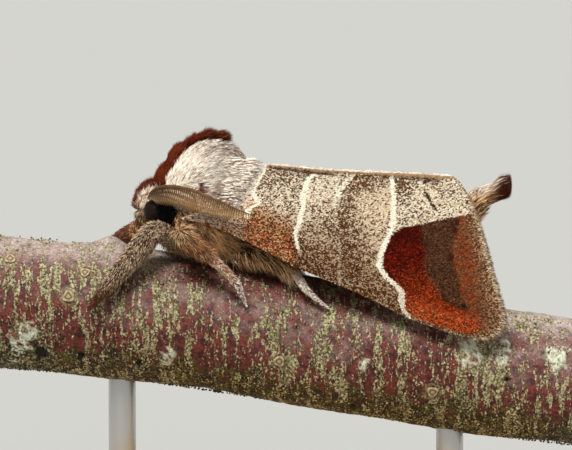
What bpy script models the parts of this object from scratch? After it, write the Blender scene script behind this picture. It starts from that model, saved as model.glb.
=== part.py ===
"""Chocolate-tip moth at rest on a cut twig, held by a plain display stand.

Metres, +Z up. The moth faces -X, and its left side is -Y. The origin is the middle of the stand's
underside. Sizes are life size: the forewing is 16 mm long.
"""

import math
import random

import bmesh
import bpy
import numpy as np
from mathutils import Matrix, Vector

MM = 0.001
GAP = 0.3 * MM  # between pieces that touch in life
FINE_GAP = 0.2 * MM  # round the small parts of the head
LEFT, RIGHT = -1, 1
SIDES = (("left", LEFT), ("right", RIGHT))

# Driving dimensions
FOREWING_LENGTH = 16.0 * MM
WING_THICKNESS = 0.5 * MM
PERCH_HALF_LENGTH = 13.3 * MM
BASE_SIZE = (23.0 * MM, 13.0 * MM, 1.6 * MM)
ROD_RADIUS = 0.6 * MM
ROD_PLACES = {"front": -7.2 * MM, "rear": 7.2 * MM}

# Everything on the moth is placed from the middle of the picture, along a body as long as this
SCALE = FOREWING_LENGTH / (16.0 * MM)


def mm(*pairs):
    """The pairs, in millimetres on a moth with a 16 mm forewing, in metres on this one."""
    return [tuple(value * MM * SCALE for value in pair) for pair in pairs]


def smooth(pairs):
    """A smooth curve through (place, value) pairs, as a function of place, straight beyond its ends."""
    places = np.array([place for place, _ in pairs])
    values = np.array([value for _, value in pairs])
    steps = np.diff(values) / np.diff(places)
    slopes = np.concatenate([steps[:1], (steps[:-1] + steps[1:]) / 2, steps[-1:]])

    def read(place):
        if place <= places[0]:
            return values[0] + slopes[0] * (place - places[0])
        if place >= places[-1]:
            return values[-1] + slopes[-1] * (place - places[-1])
        i = int(np.searchsorted(places, place) - 1)
        width = places[i + 1] - places[i]
        u = (place - places[i]) / width
        return float(
            values[i] * (1 + 2 * u) * (1 - u) ** 2
            + values[i + 1] * u * u * (3 - 2 * u)
            + slopes[i] * width * u * (1 - u) ** 2
            - slopes[i + 1] * width * u * u * (1 - u)
        )

    return read


# The twig: height of its axis above the table and its radius, along it. It slants down towards the tail
PERCH_LEVEL = smooth(mm((-13.3, 9.44), (-7.0, 8.86), (1.2, 7.55), (9.4, 6.2), (13.3, 5.74)))
PERCH_RADIUS = smooth(mm((-13.3, 2.9), (-7.0, 2.88), (2.0, 2.8), (13.3, 2.76)))
BARK_RELIEF = 0.1 * MM
BUD_SCAR = {"x": -8.2 * MM, "rise": 0.4 * MM, "half_length": 0.6 * MM, "half_angle": 0.35}

# The forewings, as a roof over the body. Heights and half width are read along the body
RIDGE = smooth(mm((-4.8, 14.7), (-3.2, 15.1), (-1.6, 15.45), (2.0, 15.25), (7.0, 15.0), (9.4, 14.75)))
COSTA = smooth(
    mm((-4.8, 13.25), (-3.2, 12.85), (-1.9, 12.3), (0.7, 11.0), (3.2, 9.95), (5.0, 9.05), (6.7, 8.4),
       (7.8, 8.13), (9.4, 8.0))
)
HALF_WIDTH = smooth(mm((-4.8, 2.4), (-3.0, 2.62), (-1.0, 2.9), (1.0, 3.02), (5.0, 3.15), (7.8, 3.35), (9.4, 3.4)))
ROOF_PITCH = 0.35  # 0 is a round back, 1 a straight tent
TORNUS_X = 7.04 * MM * SCALE  # where the hind corners of the wings meet over the back
WING_ROOT_X = -1.7 * MM * SCALE
ROOT_SLANT = 2.9 * MM * SCALE
TERMEN_SLANT = 2.6 * MM * SCALE
TERMEN_BOW = 0.55
APEX_FROM = 0.85  # share of the way from ridge to costa where the tip starts to round
APEX_ROUND = 1.6 * MM * SCALE
VEIN_LINES = (0.14, 0.3, 0.44, 0.57, 0.7, 0.83, 0.94)
VEIN_RISE = 0.09 * MM
VEIN_HALF = 0.018
HINDWING_SPAN = (0.16, 0.8)  # shares of the way from ridge to costa
HINDWING_ROOT_X = -1.45 * MM * SCALE
HINDWING_SHORTER = 1.3 * MM * SCALE
STATIONS = 13

# The body
THORAX_TOP = smooth(
    mm((-5.87, 14.9), (-5.3, 15.72), (-4.86, 16.34), (-4.39, 16.62), (-3.44, 17.02), (-2.7, 16.9), (-2.17, 16.5),
       (-1.75, 15.85))
)
THORAX_BOTTOM = smooth(mm((-5.85, 12.6), (-5.3, 11.9), (-4.6, 11.6), (-3.4, 11.4), (-1.75, 11.35)))
THORAX_HALF = smooth(
    mm((-5.85, 0.55), (-5.3, 1.1), (-4.8, 1.75), (-4.2, 2.4), (-3.4, 2.65), (-2.6, 2.45), (-1.75, 1.95))
)
THORAX_WAIST = smooth(mm((-5.85, 13.9), (-4.6, 13.6), (-1.75, 13.1)))  # level of its widest line
THORAX_SPAN = (-5.85 * MM * SCALE, -1.75 * MM * SCALE)
CREST_PINCH = 1.7
BREAST_PINCH = 0.75
ABDOMEN_LEVEL = smooth(mm((-1.45, 12.75), (0.6, 12.3), (3.0, 12.1), (5.5, 12.2), (7.0, 12.45), (7.6, 12.7)))
ABDOMEN_RADIUS = smooth(mm((-1.45, 1.3), (0.6, 1.4), (3.0, 1.35), (5.5, 1.15), (7.0, 0.82), (7.6, 0.6)))
ABDOMEN_SPAN = (-1.45 * MM * SCALE, 7.6 * MM * SCALE)
TAIL_LEVEL = smooth(mm((7.9, 13.1), (8.4, 13.8), (9.0, 14.2), (9.45, 14.45), (9.8, 14.55)))
TAIL_RADIUS = smooth(mm((7.9, 0.6), (8.4, 0.58), (9.0, 0.46), (9.45, 0.47), (9.8, 0.44)))
TAIL_SPAN = (7.9 * MM * SCALE, 9.8 * MM * SCALE)

# The head
HEAD_CENTRE = Vector(mm((-5.75, 0, 13.5))[0])
HEAD_HALF = mm((1.0, 1.25, 1.12))[0]
EYE_CENTRE = Vector(mm((-5.6, 0.78, 13.42))[0])
EYE_HALF = mm((0.66, 0.56, 0.62))[0]
PALP_PATH = mm((-6.0, 0.36, 12.35), (-6.45, 0.38, 12.25), (-6.8, 0.38, 12.5), (-6.92, 0.36, 12.95))
PALP_RADII = mm((0.24, 0.27, 0.25, 0.12))[0]
ANTENNA_PATH = mm(
    (-5.95, 1.05, 14.35), (-5.5, 1.6, 14.52), (-4.95, 2.25, 14.5), (-4.5, 2.7, 14.42), (-4.1, 2.95, 14.3),
    (-3.5, 3.1, 14.05), (-2.7, 3.15, 13.72), (-1.9, 3.22, 13.42), (-1.2, 3.3, 13.2)
)
ANTENNA_HALF_WIDTH = 0.25 * MM
ANTENNA_SHAFT = 0.2 * MM  # height of the shaft that the comb hangs from
COMB_DEPTH = smooth(
    [(0.0, 0.15 * MM), (0.12, 0.35 * MM), (0.25, 0.6 * MM), (0.4, 0.8 * MM), (0.6, 0.8 * MM), (0.75, 0.62 * MM),
     (0.9, 0.4 * MM), (1.0, 0.25 * MM)]
)
COMB_TEETH = 18
TOOTH_WIDTH = 0.2 * MM

# The coat: flat tapered locks that lie back along the body, rooted on a core inside its outline
COAT_CORE = 0.42 * MM  # from the outline down to the core
LOCK_SUNK = 0.3 * MM
LOCK_TAPER = (1.0, 0.95, 0.62)  # width at the root, a third and two thirds of the way to the tip
THORAX_LOCKS = {"rows": 6, "round": 12, "length": 1.35 * MM, "width": 1.15 * MM, "thick": 0.5 * MM}
HEAD_LOCKS = {"rows": 3, "round": 5, "length": 0.75 * MM, "width": 0.6 * MM, "thick": 0.42 * MM}
TAIL_LOCKS = {"rows": 2, "round": 7, "length": 1.5 * MM, "width": 0.55 * MM, "thick": 0.5 * MM}

# The legs, hip first and foot last. Each foot is set beside the bark by its own height
FOOT_RADIUS = 0.2 * MM
LEG_PATHS = {
    ("foreleg", LEFT): mm((-4.7, 1.0, 12.0), (-5.3, 1.8, 12.45), (-5.8, 2.2, 12.5), (-6.4, 2.6, 11.8), (-7.6, 3.3, 10.4)),
    ("foreleg", RIGHT): mm((-4.7, 1.0, 12.0), (-5.5, 1.9, 12.4), (-6.2, 2.35, 12.45), (-7.1, 2.55, 12.0), (-8.4, 2.85, 11.1)),
    ("midleg", LEFT): mm((-3.3, 1.2, 11.9), (-4.1, 2.2, 12.4), (-4.5, 2.75, 12.5), (-3.6, 3.0, 11.8), (-2.25, 3.0, 10.55)),
    ("midleg", RIGHT): mm((-3.3, 1.2, 11.9), (-4.1, 2.2, 12.4), (-4.5, 2.75, 12.5), (-3.6, 3.0, 11.8), (-2.25, 3.0, 10.55)),
    ("hindleg", LEFT): mm((-2.4, 1.1, 11.7), (-1.3, 1.75, 11.6), (-0.3, 1.85, 11.3), (0.4, 2.1, 10.7), (1.0, 2.5, 9.95)),
    ("hindleg", RIGHT): mm((-2.4, 1.1, 11.7), (-1.3, 1.75, 11.6), (-0.3, 1.85, 11.3), (0.4, 2.1, 10.7), (1.0, 2.5, 9.95)),
}
FEET = {
    ("foreleg", LEFT): mm((-8.6, 9.2))[0],
    ("foreleg", RIGHT): mm((-9.2, 10.5))[0],
    ("midleg", LEFT): mm((-1.65, 9.25))[0],
    ("midleg", RIGHT): mm((-1.65, 9.25))[0],
    ("hindleg", LEFT): mm((1.96, 9.2))[0],
    ("hindleg", RIGHT): mm((1.96, 9.2))[0],
}
LEG_RADII = {
    "foreleg": mm((0.5, 0.52, 0.5, 0.55, 0.4, 0.2))[0],
    "midleg": mm((0.4, 0.38, 0.36, 0.36, 0.27, 0.2))[0],
    "hindleg": mm((0.35, 0.3, 0.27, 0.26, 0.24, 0.2))[0],
}

# Paints: colour, roughness, metallic
PAINTS = {
    "wing_scales": ((0.49, 0.38, 0.26), 0.8, 0.0),
    "hindwing_scales": ((0.38, 0.31, 0.25), 0.8, 0.0),
    "body_fur": ((0.60, 0.51, 0.40), 0.9, 0.0),
    "tail_fur": ((0.30, 0.18, 0.09), 0.9, 0.0),
    "leg_fur": ((0.28, 0.17, 0.10), 0.9, 0.0),
    "antenna_horn": ((0.40, 0.26, 0.13), 0.6, 0.0),
    "eye_lens": ((0.02, 0.01, 0.008), 0.15, 0.0),
    "bark": ((0.25, 0.15, 0.11), 0.8, 0.0),
    "stand_wood": ((0.55, 0.42, 0.28), 0.5, 0.0),
    "stand_steel": ((0.60, 0.60, 0.60), 0.35, 1.0),
}


def clear_scene():
    for obj in list(bpy.data.objects):
        bpy.data.objects.remove(obj, do_unlink=True)


def paint(name):
    """The material of that name, made once."""
    if name in bpy.data.materials:
        return bpy.data.materials[name]
    colour, roughness, metallic = PAINTS[name]
    material = bpy.data.materials.new(name)
    material.use_nodes = True
    shader = material.node_tree.nodes["Principled BSDF"]
    shader.inputs["Base Color"].default_value = (*colour, 1)
    shader.inputs["Roughness"].default_value = roughness
    shader.inputs["Metallic"].default_value = metallic
    return material


def add_object(name, bm, material):
    """An object from a bmesh, with its faces pointing out."""
    bmesh.ops.recalc_face_normals(bm, faces=bm.faces[:])
    mesh = bpy.data.meshes.new(name)
    bm.to_mesh(mesh)
    bm.free()
    mesh.materials.append(paint(material))
    obj = bpy.data.objects.new(name, mesh)
    bpy.context.scene.collection.objects.link(obj)
    mesh.shade_smooth()
    mesh.set_sharp_from_angle(angle=math.radians(40))
    return obj


def loft(name, rings, material):
    """A closed body through rings of points. A ring of one point is a tip, and other ends are capped."""
    bm = bmesh.new()
    rows = [[bm.verts.new(point) for point in ring] for ring in rings]
    for first, second in zip(rows, rows[1:]):
        count = max(len(first), len(second))
        for i in range(count):
            j = (i + 1) % count
            corners = [first[i % len(first)], first[j % len(first)], second[j % len(second)], second[i % len(second)]]
            bm.faces.new(list(dict.fromkeys(corners)))
    for row in (rows[0], rows[-1]):
        if len(row) > 2:
            bm.faces.new(row)
    return add_object(name, bm, material)


def applied(obj):
    """The object with its modifiers made part of its mesh, and only its largest closed surface kept."""
    graph = bpy.context.evaluated_depsgraph_get()
    mesh = bpy.data.meshes.new_from_object(obj.evaluated_get(graph))
    obj.modifiers.clear()
    old, obj.data = obj.data, mesh
    mesh.name = obj.name
    bpy.data.meshes.remove(old)
    keep_largest(mesh)
    mesh.shade_smooth()
    mesh.set_sharp_from_angle(angle=math.radians(40))
    return obj


def keep_largest(mesh):
    """Drops every closed surface but the one with the greatest volume."""
    bm = bmesh.new()
    bm.from_mesh(mesh)
    bmesh.ops.triangulate(bm, faces=bm.faces[:])
    left, shells = set(bm.faces), []
    while left:
        shell, edge = set(), [left.pop()]
        while edge:
            face = edge.pop()
            shell.add(face)
            near = {other for side in face.edges for other in side.link_faces} & left
            left -= near
            edge.extend(near)
        shells.append(shell)

    def volume(shell):
        return abs(sum(f.verts[0].co.dot(f.verts[1].co.cross(f.verts[2].co)) for f in shell))

    largest = max(shells, key=volume)
    bmesh.ops.delete(bm, geom=[f for f in bm.faces if f not in largest], context="FACES")
    bm.to_mesh(mesh)
    bm.free()


def combine(obj, others, operation):
    """One Boolean of the object with a collection of closed pieces, which are then removed."""
    if not others:
        return obj
    pieces = bpy.data.collections.new(f"{obj.name} pieces")
    bpy.context.scene.collection.children.link(pieces)
    for other in others:
        pieces.objects.link(other)
        bpy.context.scene.collection.objects.unlink(other)
    boolean = obj.modifiers.new("join", "BOOLEAN")
    boolean.operation = operation
    boolean.operand_type = "COLLECTION"
    boolean.collection = pieces
    boolean.solver = "MANIFOLD"
    bpy.context.view_layer.update()
    applied(obj)
    for other in list(pieces.objects):
        bpy.data.objects.remove(other, do_unlink=True)
    bpy.data.collections.remove(pieces)
    return obj


def ellipse_ring(centre, across, up, count, turn=0.0):
    """Points round an ellipse whose half axes are the two vectors."""
    angles = (turn + 2 * math.pi * i / count for i in range(count))
    return [centre + across * math.cos(a) + up * math.sin(a) for a in angles]


def spline(points, count):
    """Points evenly spaced by station along a smooth curve through the given ones."""
    stations = [i / (len(points) - 1) for i in range(len(points))]
    axes = [smooth(list(zip(stations, [p[axis] for p in points]))) for axis in range(3)]
    return [Vector([axis(i / (count - 1)) for axis in axes]) for i in range(count)]


def limb(name, path, radii, material, sides=8, count=12, grow=0.0, flat=1.0):
    """A tapering round limb along a path. grow swells it and lengthens it, for a cutter."""
    line = spline(path, count)
    stations = [i / (len(radii) - 1) for i in range(len(radii))]
    radius = smooth(list(zip(stations, radii)))
    rings = []
    side = Vector((0, 1, 0))
    for i, point in enumerate(line):
        along = (line[min(i + 1, count - 1)] - line[max(i - 1, 0)]).normalized()
        side = (side - along * side.dot(along)).normalized()
        reach = radius(i / (count - 1)) + grow
        shift = {0: -grow, count - 1: grow}.get(i, 0.0)
        rings.append(ellipse_ring(point + along * shift, side * reach * flat, along.cross(side) * reach, sides))
    return loft(name, rings, material)


def ball(name, centre, half, material, rows=9, count=14, grow=0.0):
    """An ellipsoid with its poles along Y."""
    rings = []
    for i in range(rows + 1):
        angle = math.pi * i / rows
        place = centre - Vector((0, (half[1] + grow) * math.cos(angle), 0))
        across = Vector((half[0] + grow, 0, 0)) * math.sin(angle)
        up = Vector((0, 0, half[2] + grow)) * math.sin(angle)
        rings.append([place] if i in (0, rows) else ellipse_ring(place, across, up, count))
    return loft(name, rings, material)


def block(name, low, high, material):
    """A box between two corners."""
    bm = bmesh.new()
    bmesh.ops.create_cube(bm, size=1)
    size = Vector(high) - Vector(low)
    middle = (Vector(high) + Vector(low)) / 2
    bmesh.ops.transform(bm, matrix=Matrix.Translation(middle) @ Matrix.Diagonal((*size, 1)), verts=bm.verts[:])
    return add_object(name, bm, material)


def termen_x(t):
    """How far back the wing reaches, t of the way from ridge to costa. The tip rounds off."""
    past = max(0.0, (t - APEX_FROM) / (1 - APEX_FROM))
    return TORNUS_X + TERMEN_SLANT * t**TERMEN_BOW - APEX_ROUND * (1 - math.sqrt(1 - past * past))


def wing_point(x, t, depth, side, clear=GAP / 2):
    """A point of the wing roof at x, t of the way from ridge to costa, and depth below its upper face."""
    turn = t * math.pi / 2
    top, low = RIDGE(x) - 1.25 * depth, COSTA(x)
    reach = HALF_WIDTH(x) - depth - clear
    fall = (1 - ROOF_PITCH) * math.cos(turn) + ROOF_PITCH * (1 - math.sin(turn))
    return Vector((x, side * (clear + reach * math.sin(turn)), low + (top - low) * fall))


def shell(name, upper, lower, material):
    """A closed thin vane between two grids of points, split into triangles alike on both faces."""
    bm = bmesh.new()
    faces = [[[bm.verts.new(point) for point in row] for row in grid] for grid in (upper, lower)]
    rows, columns = len(upper), len(upper[0])
    for grid in faces:
        for i in range(rows - 1):
            for j in range(columns - 1):
                a, b, c, d = grid[i][j], grid[i][j + 1], grid[i + 1][j + 1], grid[i + 1][j]
                bm.faces.new((a, b, c))
                bm.faces.new((a, c, d))
    rim = (
        [(i, 0) for i in range(rows)]
        + [(rows - 1, j) for j in range(1, columns)]
        + [(i, columns - 1) for i in range(rows - 2, -1, -1)]
        + [(0, j) for j in range(columns - 2, 0, -1)]
    )
    for (i, j), (k, m) in zip(rim, rim[1:] + rim[:1]):
        bm.faces.new((faces[0][i][j], faces[0][k][m], faces[1][k][m], faces[1][i][j]))
    return add_object(name, bm, material)


def vein_stations():
    """Lines along the wing as (t, rise): the margins, and three for each vein, with its crest in the middle."""
    lines = [(0.0, 0.0), (1.0, 0.0)]
    for t in VEIN_LINES:
        lines += [(t - VEIN_HALF, 0.0), (t, VEIN_RISE), (t + VEIN_HALF, 0.0)]
    return sorted(lines)


def forewing(side_name, side):
    """The left or right forewing: half of the roof, with its main veins raised on the upper face."""
    upper, lower = [], []
    for t, rise in vein_stations():
        root = WING_ROOT_X - ROOT_SLANT * t**1.2
        places = [root + (termen_x(t) - root) * i / (STATIONS - 1) for i in range(STATIONS)]
        fade = [min(1.0, 3 * i / (STATIONS - 1)) for i in range(STATIONS)]
        upper.append([wing_point(x, t, -rise * f, side) for x, f in zip(places, fade)])
        lower.append([wing_point(x, t, WING_THICKNESS, side) for x in places])
    return shell(f"forewing_{side_name}", upper, lower, "wing_scales")


def hindwing(side_name, side):
    """A hindwing folded flat under the forewing."""
    depth = WING_THICKNESS + GAP
    low, high = HINDWING_SPAN
    upper, lower = [], []
    for j in range(7):
        t = low + (high - low) * j / 6
        places = [HINDWING_ROOT_X + (termen_x(t) - HINDWING_SHORTER - HINDWING_ROOT_X) * i / 9 for i in range(10)]
        upper.append([wing_point(x, t, depth, side) for x in places])
        lower.append([wing_point(x, t, depth + WING_THICKNESS, side) for x in places])
    return shell(f"hindwing_{side_name}", upper, lower, "hindwing_scales")


def wing_room(side):
    """A cutter as wide as a forewing and the gap on both its faces, and as much past its edges."""
    grids = {-GAP: [], WING_THICKNESS + GAP: []}
    past_ridge, past_costa = Vector((0, -side * GAP, 0)), Vector((0, 0, -2 * GAP))
    for depth, grid in grids.items():
        for j in range(10):
            t = j / 9
            root = WING_ROOT_X - ROOT_SLANT * t**1.2 - 2 * GAP
            places = [root + (TORNUS_X - root) * i / 8 for i in range(9)]
            grid.append([wing_point(x, t, depth, side, clear=0.0) for x in places])
        grid.insert(0, [point + past_ridge for point in grid[0]])
        grid.append([point + past_costa for point in grid[-1]])
    return shell("wing room", *grids.values(), "wing_scales")


def foot_point(x, z, side):
    """Where a foot rests beside the bark at that height."""
    rise = z - PERCH_LEVEL(x)
    reach = math.sqrt(PERCH_RADIUS(x) ** 2 - rise**2) + BARK_RELIEF + GAP + FOOT_RADIUS
    return Vector((x, side * reach, z))


def leg(kind, side_name, side, grow=0.0):
    path = [Vector((x, side * y, z)) for x, y, z in LEG_PATHS[kind, side]]
    path.append(foot_point(*FEET[kind, side], side))
    return limb(f"{kind}_{side_name}", path, LEG_RADII[kind], "leg_fur", grow=grow)


def antenna_frames(side, count):
    """Points along an antenna, each with the directions along it, across it and up."""
    line = spline([Vector((x, side * y, z)) for x, y, z in ANTENNA_PATH], count)
    frames = []
    for i, point in enumerate(line):
        along = (line[min(i + 1, count - 1)] - line[max(i - 1, 0)]).normalized()
        across = along.cross(Vector((0, 0, 1))).normalized()
        frames.append((point, along, across, across.cross(along)))
    return frames


def antenna_blade(name, side, depth, grow=0.0):
    """A band that hangs along an antenna, as deep as the function of the way along it says."""
    count = 16
    half = ANTENNA_HALF_WIDTH + grow
    rings = []
    for i, (point, along, across, up) in enumerate(antenna_frames(side, count)):
        deep = depth(i / (count - 1)) + grow
        shift = {0: -grow, count - 1: grow}.get(i, 0.0)
        taper = 0.5 if i == count - 1 and not grow else 1.0
        corners = ((half, grow), (half, -deep), (-half, -deep), (-half, grow))
        rings.append([point + along * shift + across * a * taper + up * b * taper for a, b in corners])
    return loft(name, rings, "antenna_horn")


def antenna(side_name, side):
    """A shaft with a comb of tapered teeth that hang from it and lean a little outwards along it."""
    shaft = antenna_blade(f"antenna_{side_name}", side, lambda way: ANTENNA_SHAFT)
    frames = antenna_frames(side, 2 * COMB_TEETH + 1)
    teeth = []
    for k in range(COMB_TEETH):
        point, along, across, up = frames[2 * k + 1]
        deep = COMB_DEPTH((2 * k + 1) / (2 * COMB_TEETH))
        if deep < 2 * ANTENNA_SHAFT:
            continue
        rings = []
        for down, wide, lean in ((ANTENNA_SHAFT / 3, 1.0, 0.0), (deep, 0.55, 0.5 * TOOTH_WIDTH)):
            middle = point - up * down + along * lean
            a, b = across * ANTENNA_HALF_WIDTH * 0.9 * wide, along * TOOTH_WIDTH * wide / 2
            rings.append([middle + a + b, middle + a - b, middle - a - b, middle - a + b])
        teeth.append(loft("tooth", rings, "antenna_horn"))
    return combine(shaft, teeth, "UNION")


def lock(root, tip, outward, width, thick):
    """A flat tapered lock of hair. It leaves its root outwards and bends over to its tip."""
    across = (tip - root).cross(outward).normalized()
    bend = root + (tip - root) * 0.45 + outward * thick * 0.5
    rings = []
    for step, taper in enumerate(LOCK_TAPER):
        way = step / len(LOCK_TAPER)
        middle = root * (1 - way) ** 2 + bend * 2 * way * (1 - way) + tip * way**2
        along = ((bend - root) * (1 - way) + (tip - bend) * way).normalized()
        a, b = across * width * taper / 2, across.cross(along) * thick * taper / 2
        rings.append([middle + a, middle + b, middle - a, middle - b])
    rings.append([tip])
    return loft("lock", rings, "body_fur")


def coat(surface, size, seed, keep=lambda turn, way: True):
    """Locks all over a surface, in staggered rows.

    surface(turn, way, lift) is the point that far round, from 0 to 1, and that far along, from 0 to 1, lifted
    off the core by a share of the coat's depth.
    """
    draw = random.Random(seed)
    rows, count = size["rows"], size["round"]
    locks = []
    for row in range(rows):
        for i in range(count):
            turn = (i + 0.5 * (row % 2) + draw.uniform(-0.12, 0.12)) / count
            way = (row + draw.uniform(-0.12, 0.12)) / rows
            if not keep(turn, way):
                continue
            at = surface(turn, way, 0.0)
            outward = (surface(turn, way, 1.0) - at).normalized()
            back = (surface(turn, way + 0.05, 0.0) - at).normalized() * size["length"] * draw.uniform(0.9, 1.1)
            reach = way + 0.05 * back.length / (surface(turn, way + 0.05, 0.0) - at).length
            tip = surface(turn, min(reach, 1.0), draw.uniform(0.9, 1.1))
            locks.append(lock(at - outward * LOCK_SUNK, tip, outward, size["width"] * draw.uniform(0.9, 1.1),
                              size["thick"]))
    return locks


def eye(side_name, side, grow=0.0):
    """A domed eye whose flat back lies against the head."""
    centre = Vector((EYE_CENTRE.x, side * EYE_CENTRE.y, EYE_CENTRE.z))
    rings = []
    if grow:
        rings.append(ellipse_ring(centre - Vector((0, side * grow, 0)), Vector((EYE_HALF[0] + grow, 0, 0)),
                                  Vector((0, 0, EYE_HALF[2] + grow)), 14))
    for i in range(5):
        angle = math.pi / 2 * i / 5
        place = centre + Vector((0, side * (EYE_HALF[1] + 2 * grow) * math.sin(angle), 0))
        across = Vector((EYE_HALF[0] + grow, 0, 0)) * math.cos(angle)
        up = Vector((0, 0, EYE_HALF[2] + grow)) * math.cos(angle)
        rings.append(ellipse_ring(place, across, up, 14))
    rings.append([centre + Vector((0, side * (EYE_HALF[1] + 2 * grow), 0))])
    return loft(f"eye_{side_name}", rings, "eye_lens")


def palp(side_name, side, grow=0.0):
    path = [Vector((x, side * y, z)) for x, y, z in PALP_PATH]
    return limb(f"palp_{side_name}", path, PALP_RADII, "leg_fur", sides=6, count=7, grow=grow)


def head_point(turn, way, lift):
    """The crown of the head, from the brow at way 0 back to the nape, and from ear to ear."""
    lean = math.pi * (0.12 + 0.5 * way)
    roll = math.pi * (turn - 0.5) * 0.75
    reach = [half - COAT_CORE * 0.5 * (1 - lift) for half in HEAD_HALF]
    direction = (-math.cos(lean), math.sin(lean) * math.sin(roll), math.sin(lean) * math.cos(roll))
    return HEAD_CENTRE + Vector([size * part for size, part in zip(reach, direction)])


def head():
    core = ball("head", HEAD_CENTRE, [half - COAT_CORE * 0.5 for half in HEAD_HALF], "body_fur")
    combine(core, coat(head_point, HEAD_LOCKS, seed=3), "UNION")
    cutters = []
    for name, side in SIDES:
        cutters.append(eye(name, side, grow=FINE_GAP))
        cutters.append(palp(name, side, grow=FINE_GAP))
        cutters.append(antenna_blade("antenna room", side, COMB_DEPTH, grow=FINE_GAP))
    return combine(core, cutters, "DIFFERENCE")


def thorax_point(turn, way, lift):
    """The thorax, pinched to the crest above its widest line, and full below. turn 0 is its left side."""
    front, rear = THORAX_SPAN
    x = front + (rear - front) * way
    inset = COAT_CORE * (1 - lift)
    waist = THORAX_WAIST(x)
    rise, out = math.sin(2 * math.pi * turn), -math.cos(2 * math.pi * turn)
    pinch = CREST_PINCH if rise > 0 else BREAST_PINCH
    reach = (THORAX_TOP(x) - waist if rise > 0 else waist - THORAX_BOTTOM(x)) - inset
    wide = max(THORAX_HALF(x) - inset, 0.1 * MM)
    return Vector((x, math.copysign(abs(out) ** pinch, out) * wide, waist + rise * reach))


def thorax():
    rings = [[thorax_point((i + 0.5) / 16, row / 8, 0.0) for i in range(16)] for row in range(9)]
    core = loft("thorax", rings, "body_fur")
    combine(core, coat(thorax_point, THORAX_LOCKS, seed=7), "UNION")
    cutters = [ball("head room", HEAD_CENTRE, HEAD_HALF, "body_fur", grow=GAP)]
    for name, side in SIDES:
        cutters.append(wing_room(side))
        cutters.append(eye(name, side, grow=GAP))
        cutters.append(palp(name, side, grow=GAP))
        cutters.append(antenna_blade("antenna room", side, COMB_DEPTH, grow=FINE_GAP))
        cutters.extend(leg(kind, name, side, grow=GAP) for kind in LEG_RADII)
    return combine(core, cutters, "DIFFERENCE")


def under_roof(x, y, z, depth):
    """Whether a point is under the wings' inner face at that depth."""
    share = abs(y) / (HALF_WIDTH(x) - depth)
    return share < 1 and z < wing_point(x, math.asin(share) * 2 / math.pi, depth, RIGHT, clear=0.0).z


def trunk_ring(x, level, radius, count, depth):
    """A round upright section, drawn in wherever it would reach the folded wings."""
    ring = []
    for i in range(count):
        angle = 2 * math.pi * i / count
        reach = radius
        while not under_roof(x, reach * math.cos(angle), level + reach * math.sin(angle), depth):
            reach -= 0.02 * radius
        ring.append(Vector((x, reach * math.cos(angle), level + reach * math.sin(angle))))
    return ring


def abdomen():
    front, rear = ABDOMEN_SPAN
    places = [front + (rear - front) * i / 11 for i in range(12)]
    depth = 2 * (WING_THICKNESS + GAP)
    return loft("abdomen", [trunk_ring(x, ABDOMEN_LEVEL(x), ABDOMEN_RADIUS(x), 14, depth) for x in places], "body_fur")


def tail_point(turn, way, lift):
    """The tail brush. Its core narrows towards the tips of the locks."""
    front, rear = TAIL_SPAN
    x = front + (rear - front) * way
    reach = TAIL_RADIUS(x) * (1 - (1 - lift) * (0.25 + 0.5 * way))
    angle = 2 * math.pi * turn
    return Vector((x, reach * math.cos(angle), TAIL_LEVEL(x) + reach * math.sin(angle)))


def tail_tuft():
    rings = [[tail_point(i / 8, way, 0.0) for i in range(8)] for way in (0.0, 0.25, 0.5, 0.75)]
    core = loft("tail_tuft", rings, "tail_fur")
    locks = coat(tail_point, TAIL_LOCKS, seed=5, keep=lambda turn, way: way < 0.6)
    combine(core, locks, "UNION")
    front = TAIL_SPAN[0] + 0.05 * MM  # trims the roots level with each other
    room = block("abdomen room", (front - MM, -2 * MM, 10 * MM), (front, 2 * MM, 16 * MM), "tail_fur")
    return combine(core, [room], "DIFFERENCE")


def perch():
    """A cut length of twig, with a bud scar on top. Its bark rises and falls a little."""
    count, rows = 22, 31
    slope = math.atan2(PERCH_LEVEL(MM) - PERCH_LEVEL(-MM), 2 * MM)
    up = Vector((-math.sin(slope), 0, math.cos(slope)))
    rings = []
    for i in range(rows):
        x = (2 * i / (rows - 1) - 1) * PERCH_HALF_LENGTH
        ring = []
        for j in range(count):
            angle = 2 * math.pi * j / count
            swell = math.sin(i * 0.7 + 2 * angle) + math.sin(i * 0.4 - 3 * angle + 1.0)
            off_scar = math.hypot(
                (x - BUD_SCAR["x"]) / BUD_SCAR["half_length"], (angle - math.pi / 2) / BUD_SCAR["half_angle"]
            )
            reach = PERCH_RADIUS(x) + 0.45 * BARK_RELIEF * swell + BUD_SCAR["rise"] * math.exp(-(off_scar**2))
            middle = Vector((x, reach * math.cos(angle), PERCH_LEVEL(x)))
            ring.append(middle + up * reach * math.sin(angle))
        rings.append(ring)
    return loft("perch", rings, "bark")


def stand():
    """A flat base with eased edges, and two short rods up to the twig."""
    length, width, thick = BASE_SIZE
    base = block("stand_base", (-length / 2, -width / 2, 0), (length / 2, width / 2, thick), "stand_wood")
    corners = base.modifiers.new("eased edges", "BEVEL")
    corners.width = 0.35 * MM
    corners.segments = 2
    corners.limit_method = "ANGLE"
    for name, x in ROD_PLACES.items():
        under = PERCH_LEVEL(x + ROD_RADIUS) - PERCH_RADIUS(x) - BARK_RELIEF - GAP
        ends = [Vector((x, 0, z)) for z in (thick + GAP, under)]
        rings = [ellipse_ring(end, Vector((ROD_RADIUS, 0, 0)), Vector((0, ROD_RADIUS, 0)), 16) for end in ends]
        loft(f"stand_rod_{name}", rings, "stand_steel")


def main():
    clear_scene()
    head()
    thorax()
    abdomen()
    tail_tuft()
    for name, side in SIDES:
        forewing(name, side)
        hindwing(name, side)
        antenna(name, side)
        eye(name, side)
        palp(name, side)
        for kind in LEG_RADII:
            leg(kind, name, side)
    perch()
    stand()


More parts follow.
